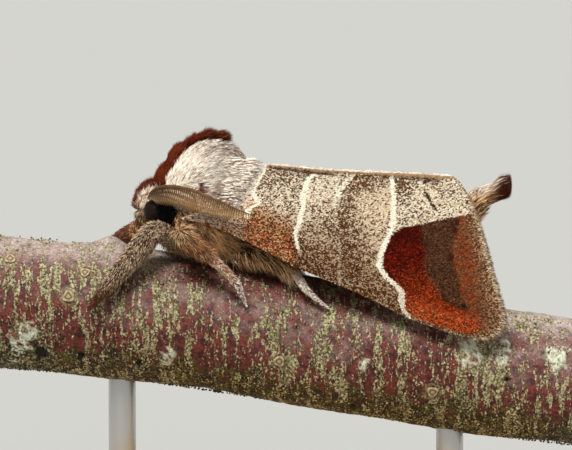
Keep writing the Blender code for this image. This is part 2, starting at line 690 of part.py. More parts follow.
main()
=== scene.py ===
"""Looks of the chocolate-tip moth on its twig: skin, coat, scaled wings, comb antennae, bark and stand.

Sizes below are in millimetres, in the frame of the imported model: the moth faces -X, its left side is -Y,
and the stand's underside is at height 0.
"""

import math

import bpy
import numpy as np
from bpy.props import FloatProperty, FloatVectorProperty
from mathutils import Matrix, Vector
from mathutils.kdtree import KDTree


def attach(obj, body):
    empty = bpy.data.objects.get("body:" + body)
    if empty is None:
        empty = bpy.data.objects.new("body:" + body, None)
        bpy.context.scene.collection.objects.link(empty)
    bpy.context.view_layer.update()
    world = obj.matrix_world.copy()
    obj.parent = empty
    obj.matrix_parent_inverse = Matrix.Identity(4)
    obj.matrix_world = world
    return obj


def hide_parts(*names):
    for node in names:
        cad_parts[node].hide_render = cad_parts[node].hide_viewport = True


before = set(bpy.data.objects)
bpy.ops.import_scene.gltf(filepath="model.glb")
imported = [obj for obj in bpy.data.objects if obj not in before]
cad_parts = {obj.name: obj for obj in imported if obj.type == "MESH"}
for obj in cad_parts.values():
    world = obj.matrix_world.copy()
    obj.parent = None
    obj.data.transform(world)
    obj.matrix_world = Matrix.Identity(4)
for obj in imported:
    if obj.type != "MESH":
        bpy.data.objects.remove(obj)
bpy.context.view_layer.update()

bl_info = {
    "name": "Chocolate-tip moth",
    "version": (1, 0, 0),
    "blender": (4, 5, 0),
    "location": "3D View > Sidebar > Moth",
    "description": "Skin, coat, wings, antennae, twig, stand and studio of a moth at rest",
    "category": "Add Mesh",
}

MM = 0.001
SIDES = {"left": -1, "right": 1}
LEG_KINDS = ("foreleg", "midleg", "hindleg")
UP = np.array([0.0, 0.0, 1.0])
WHITE = np.array([1.0, 1.0, 1.0])

# Hairs of each coat piece, and scales and fringe hairs of one wing
COUNTS = {
    "crest": 10500, "shoulders": 17500, "breast": 13000, "wing_base": 3000, "tegula": 4300, "head": 11500,
    "bristles": 620, "forelegs": 13000, "rear_legs": 10500, "tail": 5600, "abdomen": 5500, "scales": 42500,
    "fringe": 3400,
}
# Starts of the random draws. Those of a wing are shifted by its side
SEEDS = {
    "thorax": 101, "head": 102, "legs": 103, "tail": 104, "wing_base": 110, "scales": 200, "fringe": 300,
    "lichen": 401, "membrane": 7,
}


def linear(code):
    """An sRGB hex colour as linear red, green and blue."""
    parts = [int(code[i : i + 2], 16) / 255 for i in (0, 2, 4)]
    return tuple(p / 12.92 if p <= 0.04045 else ((p + 0.055) / 1.055) ** 2.4 for p in parts)


def colour(name, code, text):
    """A colour setting."""
    return FloatVectorProperty(
        name=name, description=text, subtype="COLOR", size=3, min=0, max=1, default=linear(code)
    )


def length(name, millimetres, text):
    """A length setting."""
    return FloatProperty(
        name=name, description=text, subtype="DISTANCE", unit="LENGTH", min=0, default=millimetres * MM
    )


class MothLooks(bpy.types.PropertyGroup):
    """Colours and sizes of the moth's coat and scales, of its twig and of its stand."""

    chocolate: colour("Chocolate", "551b03", "Crest and the tuft on the head")
    chocolate_deep: colour("Deep chocolate", "32100a", "Shaded roots of the chocolate hair")
    cream: colour("Cream", "fff1e0", "Hair of the collar and shoulders")
    fawn: colour("Fawn", "bd9970", "Duller hair among the cream")
    umber: colour("Umber", "5d3d27", "Dark hair of the breast and legs")
    rust: colour("Rust", "9a4a26", "Orange-brown hair of the middle legs")
    scale_pale: colour("Pale scales", "dacdb4", "Lightest scales of the wing's ground")
    scale_tan: colour("Tan scales", "ba9a72", "Middle scales of the wing's ground")
    scale_dark: colour("Dark scales", "5a3b23", "Darkest scales of the wing's ground")
    line: colour("Cross lines", "ebe1cb", "The four pale lines across the wing")
    patch_red: colour("Patch, dark red", "470c02", "Inner part of the wing's chocolate tip")
    patch_brown: colour("Patch, brown", "50321f", "Middle of the wing's chocolate tip")
    patch_rust: colour("Patch, rust", "863a17", "Outer part of the wing's chocolate tip")
    patch_orange: colour("Patch, orange", "9c3d17", "Lower edge of the tip and the scales by the shoulder")
    fringe: colour("Fringe", "ab8863", "Fringe of the wings")
    tail_tip: colour("Tail tip", "57260f", "Blunt end of the tail brush")
    horn: colour("Antenna horn", "9c7548", "Teeth of the antennae")
    eye: colour("Eye", "140a05", "Compound eyes")
    bark_red: colour("Bark, red", "63281f", "Smooth skin of the twig")
    bark_grey: colour("Bark, grey", "b3a49a", "Weathered film on the skin")
    # Its darkness is partly painted shade: on the twig's underside over the real crust, and in the pits
    bark_low: colour("Bark, low", "30270f", "Dark crust on the twig's underside")
    moss: colour("Green algae", "66602c", "Algae among the crusts")
    lichen: colour("Lichen", "a59a7c", "Crusts of lichen")
    flake: colour("Lichen flakes", "c3c6ad", "The largest pale lichens")
    wood: colour("Base wood", "c9a678", "Beech of the stand's base")
    paper: colour("Floor", "a3a39f", "Studio floor")
    # Real hair scales are 0.01 to 0.02 mm wide. They are drawn wider, so that they show
    hair_width: length("Hair width", 0.05, "Width of a hair at its root")
    scale_length: length("Scale length", 0.11, "Length of a wing scale")
    bark_relief: length("Bark relief", 0.1, "Height of the bark's swells")


def ink(name):
    """A colour of the settings, as an array."""
    return np.array(getattr(bpy.context.scene.moth_looks, name))


def smooth(*pairs):
    """A smooth curve through (place, value) pairs, as a function of places, straight beyond its ends."""
    places, values = (np.array(side, float) for side in zip(*pairs))
    steps = np.diff(values) / np.diff(places)
    slopes = np.concatenate([steps[:1], (steps[:-1] + steps[1:]) / 2, steps[-1:]])

    def read(place):
        place = np.asarray(place, float)
        inside = np.clip(place, places[0], places[-1])
        i = np.clip(np.searchsorted(places, inside) - 1, 0, len(steps) - 1)
        width = places[i + 1] - places[i]
        u = (inside - places[i]) / width
        value = (
            values[i] * (1 + 2 * u) * (1 - u) ** 2
            + values[i + 1] * u * u * (3 - 2 * u)
            + slopes[i] * width * u * (1 - u) ** 2
            - slopes[i + 1] * width * u * u * (1 - u)
        )
        return value + np.where(place < inside, slopes[0], slopes[-1]) * (place - inside)

    return read


def unit(vectors):
    """The vectors, each made 1 long."""
    return vectors / np.maximum(np.linalg.norm(vectors, axis=-1, keepdims=True), 1e-9)


def ramp(values, low, high):
    """0 below low, 1 above high, and smooth between."""
    share = np.clip((values - low) / (high - low), 0, 1)
    return share * share * (3 - 2 * share)


def mix(first, second, share):
    """One colour turning into another by a share for each point."""
    return first + (second - first) * np.asarray(share)[..., None]


def grain(points, size, seed):
    """Smooth noise from 0 to 1, with lumps of about that size, or one size for each axis."""
    cells = points / np.asarray(size, float) + 0.37 * seed
    base = np.floor(cells).astype(np.int64)
    part = cells - base
    part = part * part * (3 - 2 * part)
    total = np.zeros(len(points))
    for corner in range(8):
        offset = np.array([corner & 1, corner >> 1 & 1, corner >> 2 & 1])
        key = base + offset
        mixed = key[:, 0] * 73856093 ^ key[:, 1] * 19349663 ^ key[:, 2] * 83492791 ^ seed * 2654435761
        mixed = (mixed ^ mixed >> 13) * 1274126177
        weight = np.prod(np.where(offset, part, 1 - part), axis=1)
        total += weight * ((mixed ^ mixed >> 16) & 0xFFFF) / 0xFFFF
    return total


def pick(share, *choices, rest):
    """The first (limit, value) choice whose limit a share lies below, or else the rest."""
    result = rest
    for limit, value in reversed(choices):
        result = np.where(share < limit, value, result)
    return result


def ranked(values):
    """The values' order, spread evenly from 0 to 1, so that a share of them is picked by one limit."""
    order = np.empty(len(values))
    order[np.argsort(values, kind="stable")] = (np.arange(len(values)) + 0.5) / len(values)
    return order


# The forewings are a roof over the body. Heights and half width are read along it
RIDGE = smooth((-4.8, 14.7), (-3.2, 15.1), (-1.6, 15.45), (2.0, 15.25), (7.0, 15.0), (9.4, 14.75))
COSTA = smooth(
    (-4.8, 13.25), (-3.2, 12.85), (-1.9, 12.3), (0.7, 11.0), (3.2, 9.95), (5.0, 9.05), (6.7, 8.4),
    (7.8, 8.13), (9.4, 8.0),
)
HALF_WIDTH = smooth(
    (-4.8, 2.4), (-3.0, 2.62), (-1.0, 2.9), (1.0, 3.02), (5.0, 3.15), (7.8, 3.35), (9.4, 3.4),
)
ROOF_PITCH = 0.35
MEMBRANE = 0.1  # thickness of a wing
HEM = 0.035  # share of the wing that stands up as a keel along the ridge
HEM_FALL = 0.14


def root_x(t):
    """Where the forewing begins, t of the way from ridge to costa."""
    return -1.7 - 2.9 * t**1.2


def termen_x(t):
    """How far back the forewing reaches, t of the way from ridge to costa."""
    past = np.clip((t - 0.85) / 0.15, 0, 1)
    return 7.0 + 2.6 * t**0.58 - 0.18 * np.sin(np.pi * t) - 1.6 * (1 - np.sqrt(1 - past * past))


def roof_point(x, t, depth, side):
    """A point of the wing roof at x, t of the way from ridge to costa, and depth below its upper face."""
    turn = t * np.pi / 2
    clear = 0.06
    reach = HALF_WIDTH(x) - depth - clear
    fall = (1 - ROOF_PITCH) * np.cos(turn) + ROOF_PITCH * (1 - np.sin(turn))
    top = RIDGE(x) - 1.25 * depth
    low = COSTA(x)
    return np.stack([x, side * (clear + reach * np.sin(turn)), low + (top - low) * fall], -1)


def forewing_point(s, t, side, depth=0.06):
    """A point of the forewing's upper face, s of the way from its root to its hind edge."""
    x = root_x(t) + (termen_x(t) - root_x(t)) * s
    points = roof_point(x, t, depth, side)
    wave = grain(np.stack([x, 9 * t, 0 * x], -1), (1.6, 1.3, 1), 11) - 0.5
    sag = np.interp(t, (0, HEM, HEM + 0.015, 0.4), (0, 0.04, 1, 0))
    sag = sag * ramp(x, -1.2, 0.2) * (1 - ramp(x, 6.6, 7.3))
    points[:, 1] += side * (0.1 * wave * np.sin(np.pi * t) - 0.3 * HEM_FALL * sag)
    points[:, 2] -= HEM_FALL * sag
    return points


def hindwing_point(s, t, side, depth=0.95):
    """A point of the hindwing, folded flat under the forewing."""
    t = 0.16 + 0.64 * t
    x = -1.45 + (termen_x(t) - 1.3 + 1.45) * s
    return roof_point(x, t, depth, side)


# The body, as in the solids. The skin lies below this outline by the depth of the coat
THORAX_TOP = smooth(
    (-5.87, 14.9), (-5.3, 15.72), (-4.86, 16.34), (-4.39, 16.62), (-3.44, 17.02), (-2.7, 16.9),
    (-2.17, 16.5), (-1.75, 15.85),
)
THORAX_BOTTOM = smooth((-5.85, 12.6), (-5.3, 11.9), (-4.6, 11.6), (-3.4, 11.4), (-1.75, 11.35))
THORAX_HALF = smooth(
    (-5.85, 0.55), (-5.3, 1.1), (-4.8, 1.75), (-4.2, 2.4), (-3.4, 2.65), (-2.6, 2.45),
    (-1.75, 1.95),
)
THORAX_WAIST = smooth((-5.85, 13.9), (-4.6, 13.6), (-1.75, 13.1))
COAT_DEPTH = 0.45
HEAD_CENTRE = np.array([-5.75, 0.0, 13.5])
HEAD_HALF = np.array([1.0, 1.25, 1.12])
EYE_CENTRE = (-5.6, 0.78, 13.42)
EYE_HALF = (0.62, 0.54, 0.58)
ABDOMEN_PATH = (
    (-1.45, 0, 12.75), (0.6, 0, 12.3), (3.0, 0, 12.1), (5.5, 0, 12.2), (7.0, 0, 12.5),
    (8.3, 0, 13.3),
)
ABDOMEN_RADII = (1.15, 1.25, 1.2, 0.95, 0.7, 0.5)
TAIL_PATH = ((7.4, 0, 12.75), (8.0, 0, 13.25), (8.5, 0, 13.8), (9.0, 0, 14.1))
TAIL_RADII = (0.45, 0.4, 0.28, 0.16)
PALP_RADII = (0.12, 0.16, 0.14, 0.06)
PALP_PATH = ((-6.0, 0.36, 12.35), (-6.45, 0.38, 12.25), (-6.66, 0.38, 12.45), (-6.72, 0.36, 12.8))
ANTENNA_PATH = (
    (-5.98, 1.05, 14.02), (-5.77, 1.35, 14.32), (-5.39, 1.8, 14.5), (-4.83, 2.4, 14.55),
    (-4.07, 2.95, 14.44), (-3.41, 3.1, 14.17), (-2.7, 3.15, 13.89), (-2.0, 3.2, 13.58),
    (-1.45, 3.27, 13.38),
)
COMB_DEPTH = smooth(
    (0.0, 0.25), (0.06, 0.5), (0.125, 0.68), (0.25, 0.82), (0.375, 0.86), (0.5, 0.88),
    (0.625, 0.8), (0.75, 0.66), (0.875, 0.4), (1.0, 0.15),
)
LEG_PATHS = {
    ("foreleg", "left"): (
        (-4.7, 1.0, 12.0), (-5.3, 1.8, 12.45), (-5.8, 2.2, 12.5), (-6.4, 2.6, 11.8), (-7.6, 3.3, 10.4)
    ),
    ("foreleg", "right"): (
        (-4.7, 1.0, 12.0), (-5.5, 1.9, 12.4), (-6.2, 2.35, 12.45), (-7.1, 2.55, 12.0), (-8.4, 2.85, 11.1)
    ),
    "midleg": (
        (-3.3, 1.2, 11.9), (-4.1, 2.2, 12.4), (-4.5, 2.75, 12.5), (-3.6, 3.0, 11.8),
        (-2.25, 3.0, 10.55),
    ),
    "hindleg": (
        (-2.4, 1.1, 11.7), (-1.3, 1.75, 11.6), (-0.3, 1.85, 11.3), (0.4, 2.1, 10.7),
        (1.0, 2.5, 9.95),
    ),
}
FEET = {
    ("foreleg", "left"): (-8.6, 9.2),
    ("foreleg", "right"): (-9.2, 10.5),
    "midleg": (-1.65, 9.25),
    "hindleg": (1.96, 9.2),
}
FOOT_HOLD = 0.25  # the foot's own height over the bark
LEG_RADII = {
    "foreleg": (0.34, 0.4, 0.42, 0.42, 0.3, 0.13),
    "midleg": (0.3, 0.28, 0.24, 0.2, 0.14, 0.1),
    "hindleg": (0.26, 0.22, 0.18, 0.14, 0.12, 0.09),
}

# The twig
PERCH_LEVEL = smooth((-13.3, 9.44), (-7.0, 8.86), (1.2, 7.55), (9.4, 6.2), (13.3, 5.74))
PERCH_RADIUS = smooth((-13.3, 2.9), (-7.0, 2.88), (2.0, 2.8), (13.3, 2.76))
PERCH_HALF = 13.3
ROD_X = (-7.2, 7.2)
ROD_RADIUS = 0.6
ROD_IN_TWIG = 0.35
ROD_IN_BASE = 0.3
BASE_SIZE = (23.0, 13.0, 1.6)


def thorax_point(turn, way, inset=COAT_DEPTH):
    """The thorax, pinched to the crest above its widest line and full below."""
    x = -5.85 + 4.1 * way
    waist = THORAX_WAIST(x)
    rise, out = np.sin(2 * np.pi * turn), -np.cos(2 * np.pi * turn)
    reach = np.where(rise > 0, THORAX_TOP(x) - waist, waist - THORAX_BOTTOM(x)) - inset
    wide = np.maximum(THORAX_HALF(x) - inset, 0.1)
    pinched = np.sign(out) * np.abs(out) ** np.where(rise > 0, 1.7, 0.75)
    return np.stack([x, pinched * wide, waist + rise * reach], -1)


def limb(path, radii, blunt=0.25):
    """The surface of a round limb along a path, and the direction along it."""
    stations = np.linspace(0, 1, len(path))
    axes = [smooth(*zip(stations, column)) for column in zip(*path)]
    girth = smooth(*zip(np.linspace(0, 1, len(radii)), radii))

    def centre(way):
        return np.stack([axis(way) for axis in axes], -1)

    def along(way):
        return unit(centre(way + 0.01) - centre(way - 0.01))

    def surface(turn, way):
        ahead = along(way)
        side = unit(np.cross(ahead, UP))
        over = np.cross(side, ahead)
        angle = 2 * np.pi * turn[:, None]
        reach = girth(way) * np.sin(np.pi * np.clip(way, 0, 1)) ** blunt
        return centre(way) + (side * np.cos(angle) + over * np.sin(angle)) * reach[:, None]

    return surface, along


def leg_path(kind, side_name):
    """The leg's joints down to the foot, which holds the bark."""
    side = SIDES[side_name]
    key = kind if kind in LEG_PATHS else (kind, side_name)
    points = [(x, side * y, z) for x, y, z in LEG_PATHS[key]]
    x, z = FEET[key]
    rise = z - float(PERCH_LEVEL(x))
    points.append((x, side * (math.sqrt(float(PERCH_RADIUS(x)) ** 2 - rise**2) + FOOT_HOLD), z))
    return points


def body_parts():
    """Each part of the body as (region, surface, direction along it)."""

    def backward(way):
        return np.tile([1.0, 0.0, 0.0], (len(way), 1))

    def head_point(turn, way):
        lean, roll = np.pi * way, 2 * np.pi * turn
        direction = np.stack([np.cos(roll) * np.sin(lean), np.sin(roll) * np.sin(lean), -np.cos(lean)], -1)
        return HEAD_CENTRE + direction * (HEAD_HALF - 0.25)

    parts = [
        ("thorax", thorax_point, backward), ("head", head_point, backward),
        ("abdomen", *limb(ABDOMEN_PATH, ABDOMEN_RADII)), ("tail", *limb(TAIL_PATH, TAIL_RADII)),
    ]
    for name, side in SIDES.items():
        parts.append(("palp", *limb([(x, side * y, z) for x, y, z in PALP_PATH], PALP_RADII)))
        for kind in LEG_KINDS:
            parts.append((kind, *limb(leg_path(kind, name), LEG_RADII[kind])))
    return parts


REGIONS = ("thorax", "head", "abdomen", "tail", "palp", *LEG_KINDS)


def fetched(items, key, width, kind=np.float32):
    """So many numbers of each of a mesh's items, as rows."""
    values = np.empty(len(items) * width, kind)
    items.foreach_get(key, values)
    return values.reshape(-1, width)


def vertices(obj):
    """The places of an object's vertices."""
    return fetched(obj.data.vertices, "co", 3).astype(float)


def reshape(obj, rule):
    """Moves every vertex to where the rule says, given all of them."""
    obj.data.vertices.foreach_set("co", rule(vertices(obj)).astype(np.float32).ravel())
    obj.data.update()


def deselect():
    """Nothing selected."""
    bpy.ops.object.select_all(action="DESELECT")


def apply_modifier(obj, name, kind, **settings):
    """Adds one modifier and makes it part of the mesh."""
    bpy.context.view_layer.objects.active = obj
    modifier = obj.modifiers.new(name, kind)
    for key, value in settings.items():
        setattr(modifier, key, value)
    bpy.ops.object.modifier_apply(modifier=name)


def edit_mesh(obj, *steps):
    """Runs the steps on the whole mesh in edit mode."""
    deselect()
    obj.select_set(True)
    bpy.context.view_layer.objects.active = obj
    bpy.ops.object.mode_set(mode="EDIT")
    bpy.ops.mesh.select_all(action="SELECT")
    for step in steps:
        step()
    bpy.ops.object.mode_set(mode="OBJECT")


def face_outwards():
    """Turns the selected faces outwards."""
    bpy.ops.mesh.normals_make_consistent(inside=False)


def unwrap(obj, merge=None, **settings):
    """Merges doubles where asked, turns the faces outwards and lays them out for the bake."""
    merging = [] if merge is None else [lambda: bpy.ops.mesh.remove_doubles(threshold=merge)]
    edit_mesh(obj, *merging, face_outwards, lambda: bpy.ops.uv.smart_project(**settings))
    obj.data.uv_layers[0].name = "OFBake"


def primitive(name, add, **settings):
    """One of Blender's own shapes, and the only one selected."""
    deselect()
    add(**settings)
    bpy.context.object.name = name
    return bpy.context.object


def sphere(name, surface, segments, rings):
    """A round primitive drawn over a surface of (turn, way), in millimetres."""
    obj = primitive(
        name, bpy.ops.mesh.primitive_uv_sphere_add, segments=segments, ring_count=rings, radius=1)

    def over(points):
        turn = np.arctan2(points[:, 1], points[:, 0]) / (2 * np.pi) % 1
        way = np.arccos(np.clip(-points[:, 2], -1, 1)) / np.pi
        return surface(turn, way)

    reshape(obj, over)
    return obj


def joined(name, objects):
    """Several objects as one."""
    deselect()
    for obj in objects:
        obj.select_set(True)
    bpy.context.view_layer.objects.active = objects[0]
    bpy.ops.object.join()
    objects[0].name = name
    return objects[0]


def new_object(name, points, faces):
    """An object from arrays of points, in millimetres, and faces."""
    mesh = bpy.data.meshes.new(name)
    mesh.from_pydata(points.tolist(), [], faces.tolist())
    obj = bpy.data.objects.new(name, mesh)
    bpy.context.scene.collection.objects.link(obj)
    return obj


def held(colours, most=0.9):
    """Colours dimmed where needed, so that no channel passes a limit and the hue stays."""
    return colours * np.minimum(1, most / np.maximum(colours.max(-1, keepdims=True), 1e-6))


def store(obj, name, values):
    """Stores three numbers for each vertex, which the material reads."""
    attribute = obj.data.attributes.new(name, "FLOAT_COLOR", "POINT")
    full = np.ones((len(values), 4), np.float32)
    full[:, :3] = np.clip(values, 0, 1)
    attribute.data.foreach_set("color", full.ravel())


PATCH_SIZE = 0.0015  # of the unwrap, for one hair or scale


def set_patches(obj, centres, corners, faces):
    """Lays each hair or scale as a small patch round its root's place on the unwrap."""
    offsets = np.array(corners) * PATCH_SIZE
    loops = faces.ravel()
    layer = obj.data.uv_layers.new(name="OFBake")
    places = centres[loops // len(offsets)] + offsets[loops % len(offsets)]
    layer.data.foreach_set("uv", places.astype(np.float32).ravel())


def finish(obj, material, nodes=()):
    """Life size, painted, and fixed to the body."""
    obj.data.transform(Matrix.Scale(MM, 4))
    obj.data.name = obj.name
    obj.data.materials.clear()
    obj.data.materials.append(material)
    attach(obj, "root")
    if nodes:
        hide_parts(*nodes)


def feed(tree, node, inputs):
    """Links an output or gives a value to each socket of the (socket, source) pairs."""
    for socket, source in inputs:
        if isinstance(source, bpy.types.NodeSocket):
            tree.links.new(source, node.inputs[socket])
        else:
            node.inputs[socket].default_value = source


def add_node(tree, kind, inputs=(), **settings):
    """Adds a node with its settings and what feeds its sockets."""
    node = tree.nodes.new(kind)
    for key, value in settings.items():
        setattr(node, key, value)
    feed(tree, node, inputs)
    return node


def new_material(name, **sockets):
    """A Principled material with values set on its own sockets."""
    material = bpy.data.materials.new(name)
    material.use_nodes = True
    shader = material.node_tree.nodes["Principled BSDF"]
    for key, value in sockets.items():
        shader.inputs[key.replace("_", " ")].default_value = value
    return material, material.node_tree, shader


def tinted_material(name, bump_size, bump_height, spread, **sockets):
    """Chitin, cork or lichen whose colour is stored on the mesh, with fine grain over it."""
    material, tree, shader = new_material(name, **sockets)
    place = add_node(tree, "ShaderNodeTexCoord").outputs["Object"]
    tint = add_node(tree, "ShaderNodeAttribute", attribute_name="tint").outputs["Color"]
    noise = add_node(tree, "ShaderNodeTexNoise", [
        ("Vector", place), ("Scale", 1 / (bump_size * MM)), ("Detail", 3),
    ]).outputs["Fac"]
    shade = add_node(tree, "ShaderNodeMapRange", [
        ("Value", noise), ("To Min", 1 - spread), ("To Max", 1 + spread),
    ]).outputs["Result"]
    shaded = add_node(tree, "ShaderNodeVectorMath", [(0, tint), (1, shade)], operation="MULTIPLY")
    bump = add_node(tree, "ShaderNodeBump", [("Height", noise), ("Distance", bump_height * MM)])
    feed(tree, shader, [("Base Color", shaded.outputs["Vector"]), ("Normal", bump.outputs["Normal"])])
    return material


def lined_material(name, stretch, size, relief, grain_inputs=(), **sockets):
    """A material with fine lines as relief, drawn out by a stretch. The lines are returned too."""
    material, tree, shader = new_material(name, **sockets)
    place = add_node(tree, "ShaderNodeTexCoord").outputs["Object"]
    drawn = add_node(tree, "ShaderNodeMapping", [("Vector", place), ("Scale", stretch)]).outputs["Vector"]
    lines = add_node(tree, "ShaderNodeTexNoise", [
        ("Vector", drawn), ("Scale", 1 / (size * MM)), *grain_inputs,
    ]).outputs["Fac"]
    bump = add_node(tree, "ShaderNodeBump", [("Height", lines), ("Distance", relief * MM)])
    feed(tree, shader, [("Normal", bump.outputs["Normal"])])
    return material, tree, shader, lines


def make_skin():
    """One skin over the whole body, legs and palps, without a seam."""
    objects = []
    for region, surface, _ in body_parts():
        fine = (48, 40) if region in ("thorax", "head", "abdomen") else (20, 48)
        objects.append(sphere(region, surface, *fine))
    skin = joined("body_skin", objects)
    apply_modifier(skin, "fuse", "REMESH", mode="VOXEL", voxel_size=0.09)
    apply_modifier(skin, "even", "SMOOTH", factor=0.5, iterations=4)
    unwrap(skin, angle_limit=1.1, island_margin=0.002)
    skin.data.shade_smooth()
    points = vertices(skin)
    region, _ = nearest_parts(points)
    store(skin, "tint", body_tint(points, region) * 0.7)
    # Sclerite: dull leathery cuticle, seen only between the hairs
    material = tinted_material("moth_cuticle", 0.05, 0.01, 0.25, Roughness=0.7)
    nodes = ["head", "thorax", "abdomen", "tail_tuft"]
    for name in SIDES:
        nodes += [f"palp_{name}", *(f"{kind}_{name}" for kind in LEG_KINDS)]
    finish(skin, material, nodes)


def nearest_parts(points):
    """For each point, the number of its region and the direction along that part."""
    turn, way = (grid.ravel() for grid in np.meshgrid(np.arange(24) / 24, np.linspace(0.01, 0.99, 40)))
    places, regions, ways = [], [], []
    for region, surface, along in body_parts():
        places.append(surface(turn, way))
        ways.append(along(way))
        regions.append(np.full(len(turn), REGIONS.index(region)))
    places, regions, ways = np.concatenate(places), np.concatenate(regions), np.concatenate(ways)
    tree = KDTree(len(places))
    for i, place in enumerate(places):
        tree.insert(place, i)
    tree.balance()
    found = np.array([tree.find(point)[1] for point in points])
    return regions[found], ways[found]


CREST_DEPTH = (
    (-6.0, 1.35), (-5.4, 1.3), (-4.9, 0.95), (-4.4, 0.58), (-3.4, 0.48), (-2.7, 0.44), (-2.2, 0.3),
)


def below_crest(points):
    """Depth of each point of the thorax's skin below its own top line."""
    return THORAX_TOP(points[:, 0]) - COAT_DEPTH - points[:, 2]


def crest_share(points):
    """How far into the chocolate crest each point of the thorax's skin is."""
    deep = np.interp(points[:, 0], *zip(*CREST_DEPTH)) * (0.85 + 0.3 * grain(points, 0.25, 21)) - 0.4
    return 1 - ramp(below_crest(points), deep - 0.05, deep + 0.05)


def crown_share(points):
    """How far into the chocolate tuft each point of the head is."""
    x, y, z = points.T
    return ramp(0.55 - np.abs(y), 0, 0.1) * ramp(z - 0.4 * (x + 6.0), 13.56, 13.7)


def body_tint(points, region, draw=None):
    """Colour of the coat by place, hair by hair where a draw is given. The skin has the same markings."""
    x, y, z = points.T
    speck = ranked(grain(points, 0.1, 31)) if draw is None else draw.random(len(points))
    fleck = ramp(speck, 0.55, 0.62)
    cream = mix(ink("cream"), ink("cream") * 0.86, speck)
    rear = ramp(x, -4.9, -3.8) * (1 - ramp(below_crest(points), 0.35, 1.1))
    cream = mix(cream, mix(ink("fawn"), ink("umber"), 0.5), rear * ramp(speck, 0.76, 0.82) * 0.6)
    shoulder = ramp(x, -4.6, -3.0) * (1 - ramp(z, 13.9, 14.9))
    cream = mix(cream, mix(ink("umber"), ink("rust"), 0.3), shoulder * ramp(speck, 0.6, 0.65) * 0.8)
    breast = mix(ink("fawn"), ink("cream"), ramp(speck, 0.8, 0.98))
    breast = mix(ink("umber"), breast, ramp(speck, 0.1, 0.45))
    upper = mix(ink("fawn") * 0.9, ink("umber"), 0.8 * ramp(speck, 0.5, 0.7))
    breast = mix(breast, upper, ramp(z, 11.8, 12.6))
    # The warmer hue is the fur's own. Its lightening towards the rear, where the wing shades it, is painted
    # light
    breast = breast * np.array([1.0, 0.94, 0.88]) * (0.9 + 1.2 * ramp(x, -4.2, -3.2))[:, None]
    # Painted shade: fur darkened in the hollow low on the breast, behind the head
    hollow_shade = ramp(-3.9 - x, 0, 0.4) * ramp(x, -5.2, -4.9) * (1 - ramp(z, 12.3, 12.8))
    breast = breast * (1 - 0.5 * hollow_shade)[:, None]
    body = mix(breast, cream, ramp(z, 13.3, 14.0))
    body = mix(body, ink("chocolate"), crest_share(points))
    mark = ramp(0.12 - np.abs(x + 3.9), 0, 0.03) * ramp(0.25 - np.abs(z - 14.36), 0, 0.05)
    body = mix(body, ink("chocolate"), mark)
    chin = mix(mix(ink("fawn"), ink("rust"), 0.25), ink("umber"), fleck)
    face = mix(chin, mix(ink("cream"), ink("fawn"), fleck), ramp(z, 13.0, 13.8))
    head = mix(face, ink("chocolate"), crown_share(points))
    leg = mix(ink("umber") * 0.8, mix(ink("fawn"), ink("cream"), 0.25), ramp(speck, 0.42, 0.56))
    # Legs on the far side painted darker and redder than the near ones: painted shade
    far = (y > 0) * ramp(speck, -0.5, 0.6)
    leg = mix(leg, mix(ink("umber"), ink("rust"), 0.35), far * 0.9)
    leg = mix(leg, mix(ink("umber"), ink("rust"), 0.6) * 0.45, 0.9 * (1 - ramp(z, 9.8, 10.7)))
    mid = mix(ink("fawn"), ink("cream"), 0.5 - 0.5 * ramp(z, 11.2, 12.0))
    mid = mix(ink("umber"), mid, ramp(speck, 0.2, 0.6))
    stripe = ramp(x, -4.5, -4.2) * ramp(z, 10.4, 10.8) * (1 - ramp(z, 12.3, 12.6))
    mid = mix(mid, ink("rust"), stripe * (speck > 0.55) * 0.7)
    shin = mix(ink("cream"), ink("fawn"), fleck)
    hind = mix(mix(ink("umber"), ink("fawn"), fleck), shin, 1 - ramp(z, 10.4, 11.2))
    tail = mix(ink("umber"), ink("fawn"), ramp(speck, 0.4, 0.7))
    palp = mix(mix(ink("rust"), ink("umber"), 0.6), ink("fawn"), fleck)
    result = np.zeros_like(points)
    # In the order of REGIONS
    for i, tint in enumerate((body, head, breast, tail, palp, leg, mid, hind)):
        result[region == i] = tint[region == i]
    return result


def skin_roots(regions, weigh, count, draw):
    """Random places on the skin in those regions: points, normals, unwrap places, regions and directions."""
    skin = bpy.data.objects["body_skin"].data
    skin.calc_loop_triangles()
    corners, loops = (fetched(skin.loop_triangles, key, 3, np.int32) for key in ("vertices", "loops"))
    co = vertices(bpy.data.objects["body_skin"]) / MM
    normals = fetched(skin.vertices, "normal", 3)
    uv = fetched(skin.uv_layers["OFBake"].data, "uv", 2)
    labels, ways = nearest_parts(co)
    a, b, c = (co[corners[:, i]] for i in range(3))
    area = np.linalg.norm(np.cross(b - a, c - a), axis=1) / 2
    middle = (a + b + c) / 3
    wanted = np.isin(labels[corners[:, 0]], [REGIONS.index(name) for name in regions])
    area *= wanted * weigh(middle)
    chosen = draw.choice(len(area), count, p=area / area.sum())
    first, second = draw.random((2, count))
    root = np.sqrt(first)
    weights = np.stack([1 - root, root * (1 - second), root * second], -1)[..., None]
    return (
        (co[corners[chosen]] * weights).sum(1),
        unit((normals[corners[chosen]] * weights).sum(1)),
        (uv[loops[chosen]] * weights).sum(1),
        labels[corners[chosen, 0]],
        ways[corners[chosen, 0]],
    )


def coat_lie(points):
    """The lie of the coat on the thorax: up the collar, back over the shoulders, down the breast."""
    x, y, z = points.T
    upper = np.interp(x, (-6, -5.3, -4.7, -4.1, -3.4, -2.6, -1.7), (66, 58, 46, 30, 8, -28, -45))
    shoulder = np.interp(x, (-6, -5, -4, -3, -1.7), (40, 22, 2, -12, -16))
    breast = np.interp(x, (-6, -4.5, -3, -1.7), (-80, -58, -42, -34)) - 28 * ramp(12.7 - z, 0, 0.8)
    over = shoulder + (upper - shoulder) * ramp(z, 14.2, 15.4)
    angle = np.radians(breast + (over - breast) * ramp(z, 12.9, 13.7))
    aside = 0.35 * np.sign(y) * (1 - ramp(z, 12.6, 13.4))
    return unit(np.stack([np.cos(angle), aside, np.sin(angle)], -1))


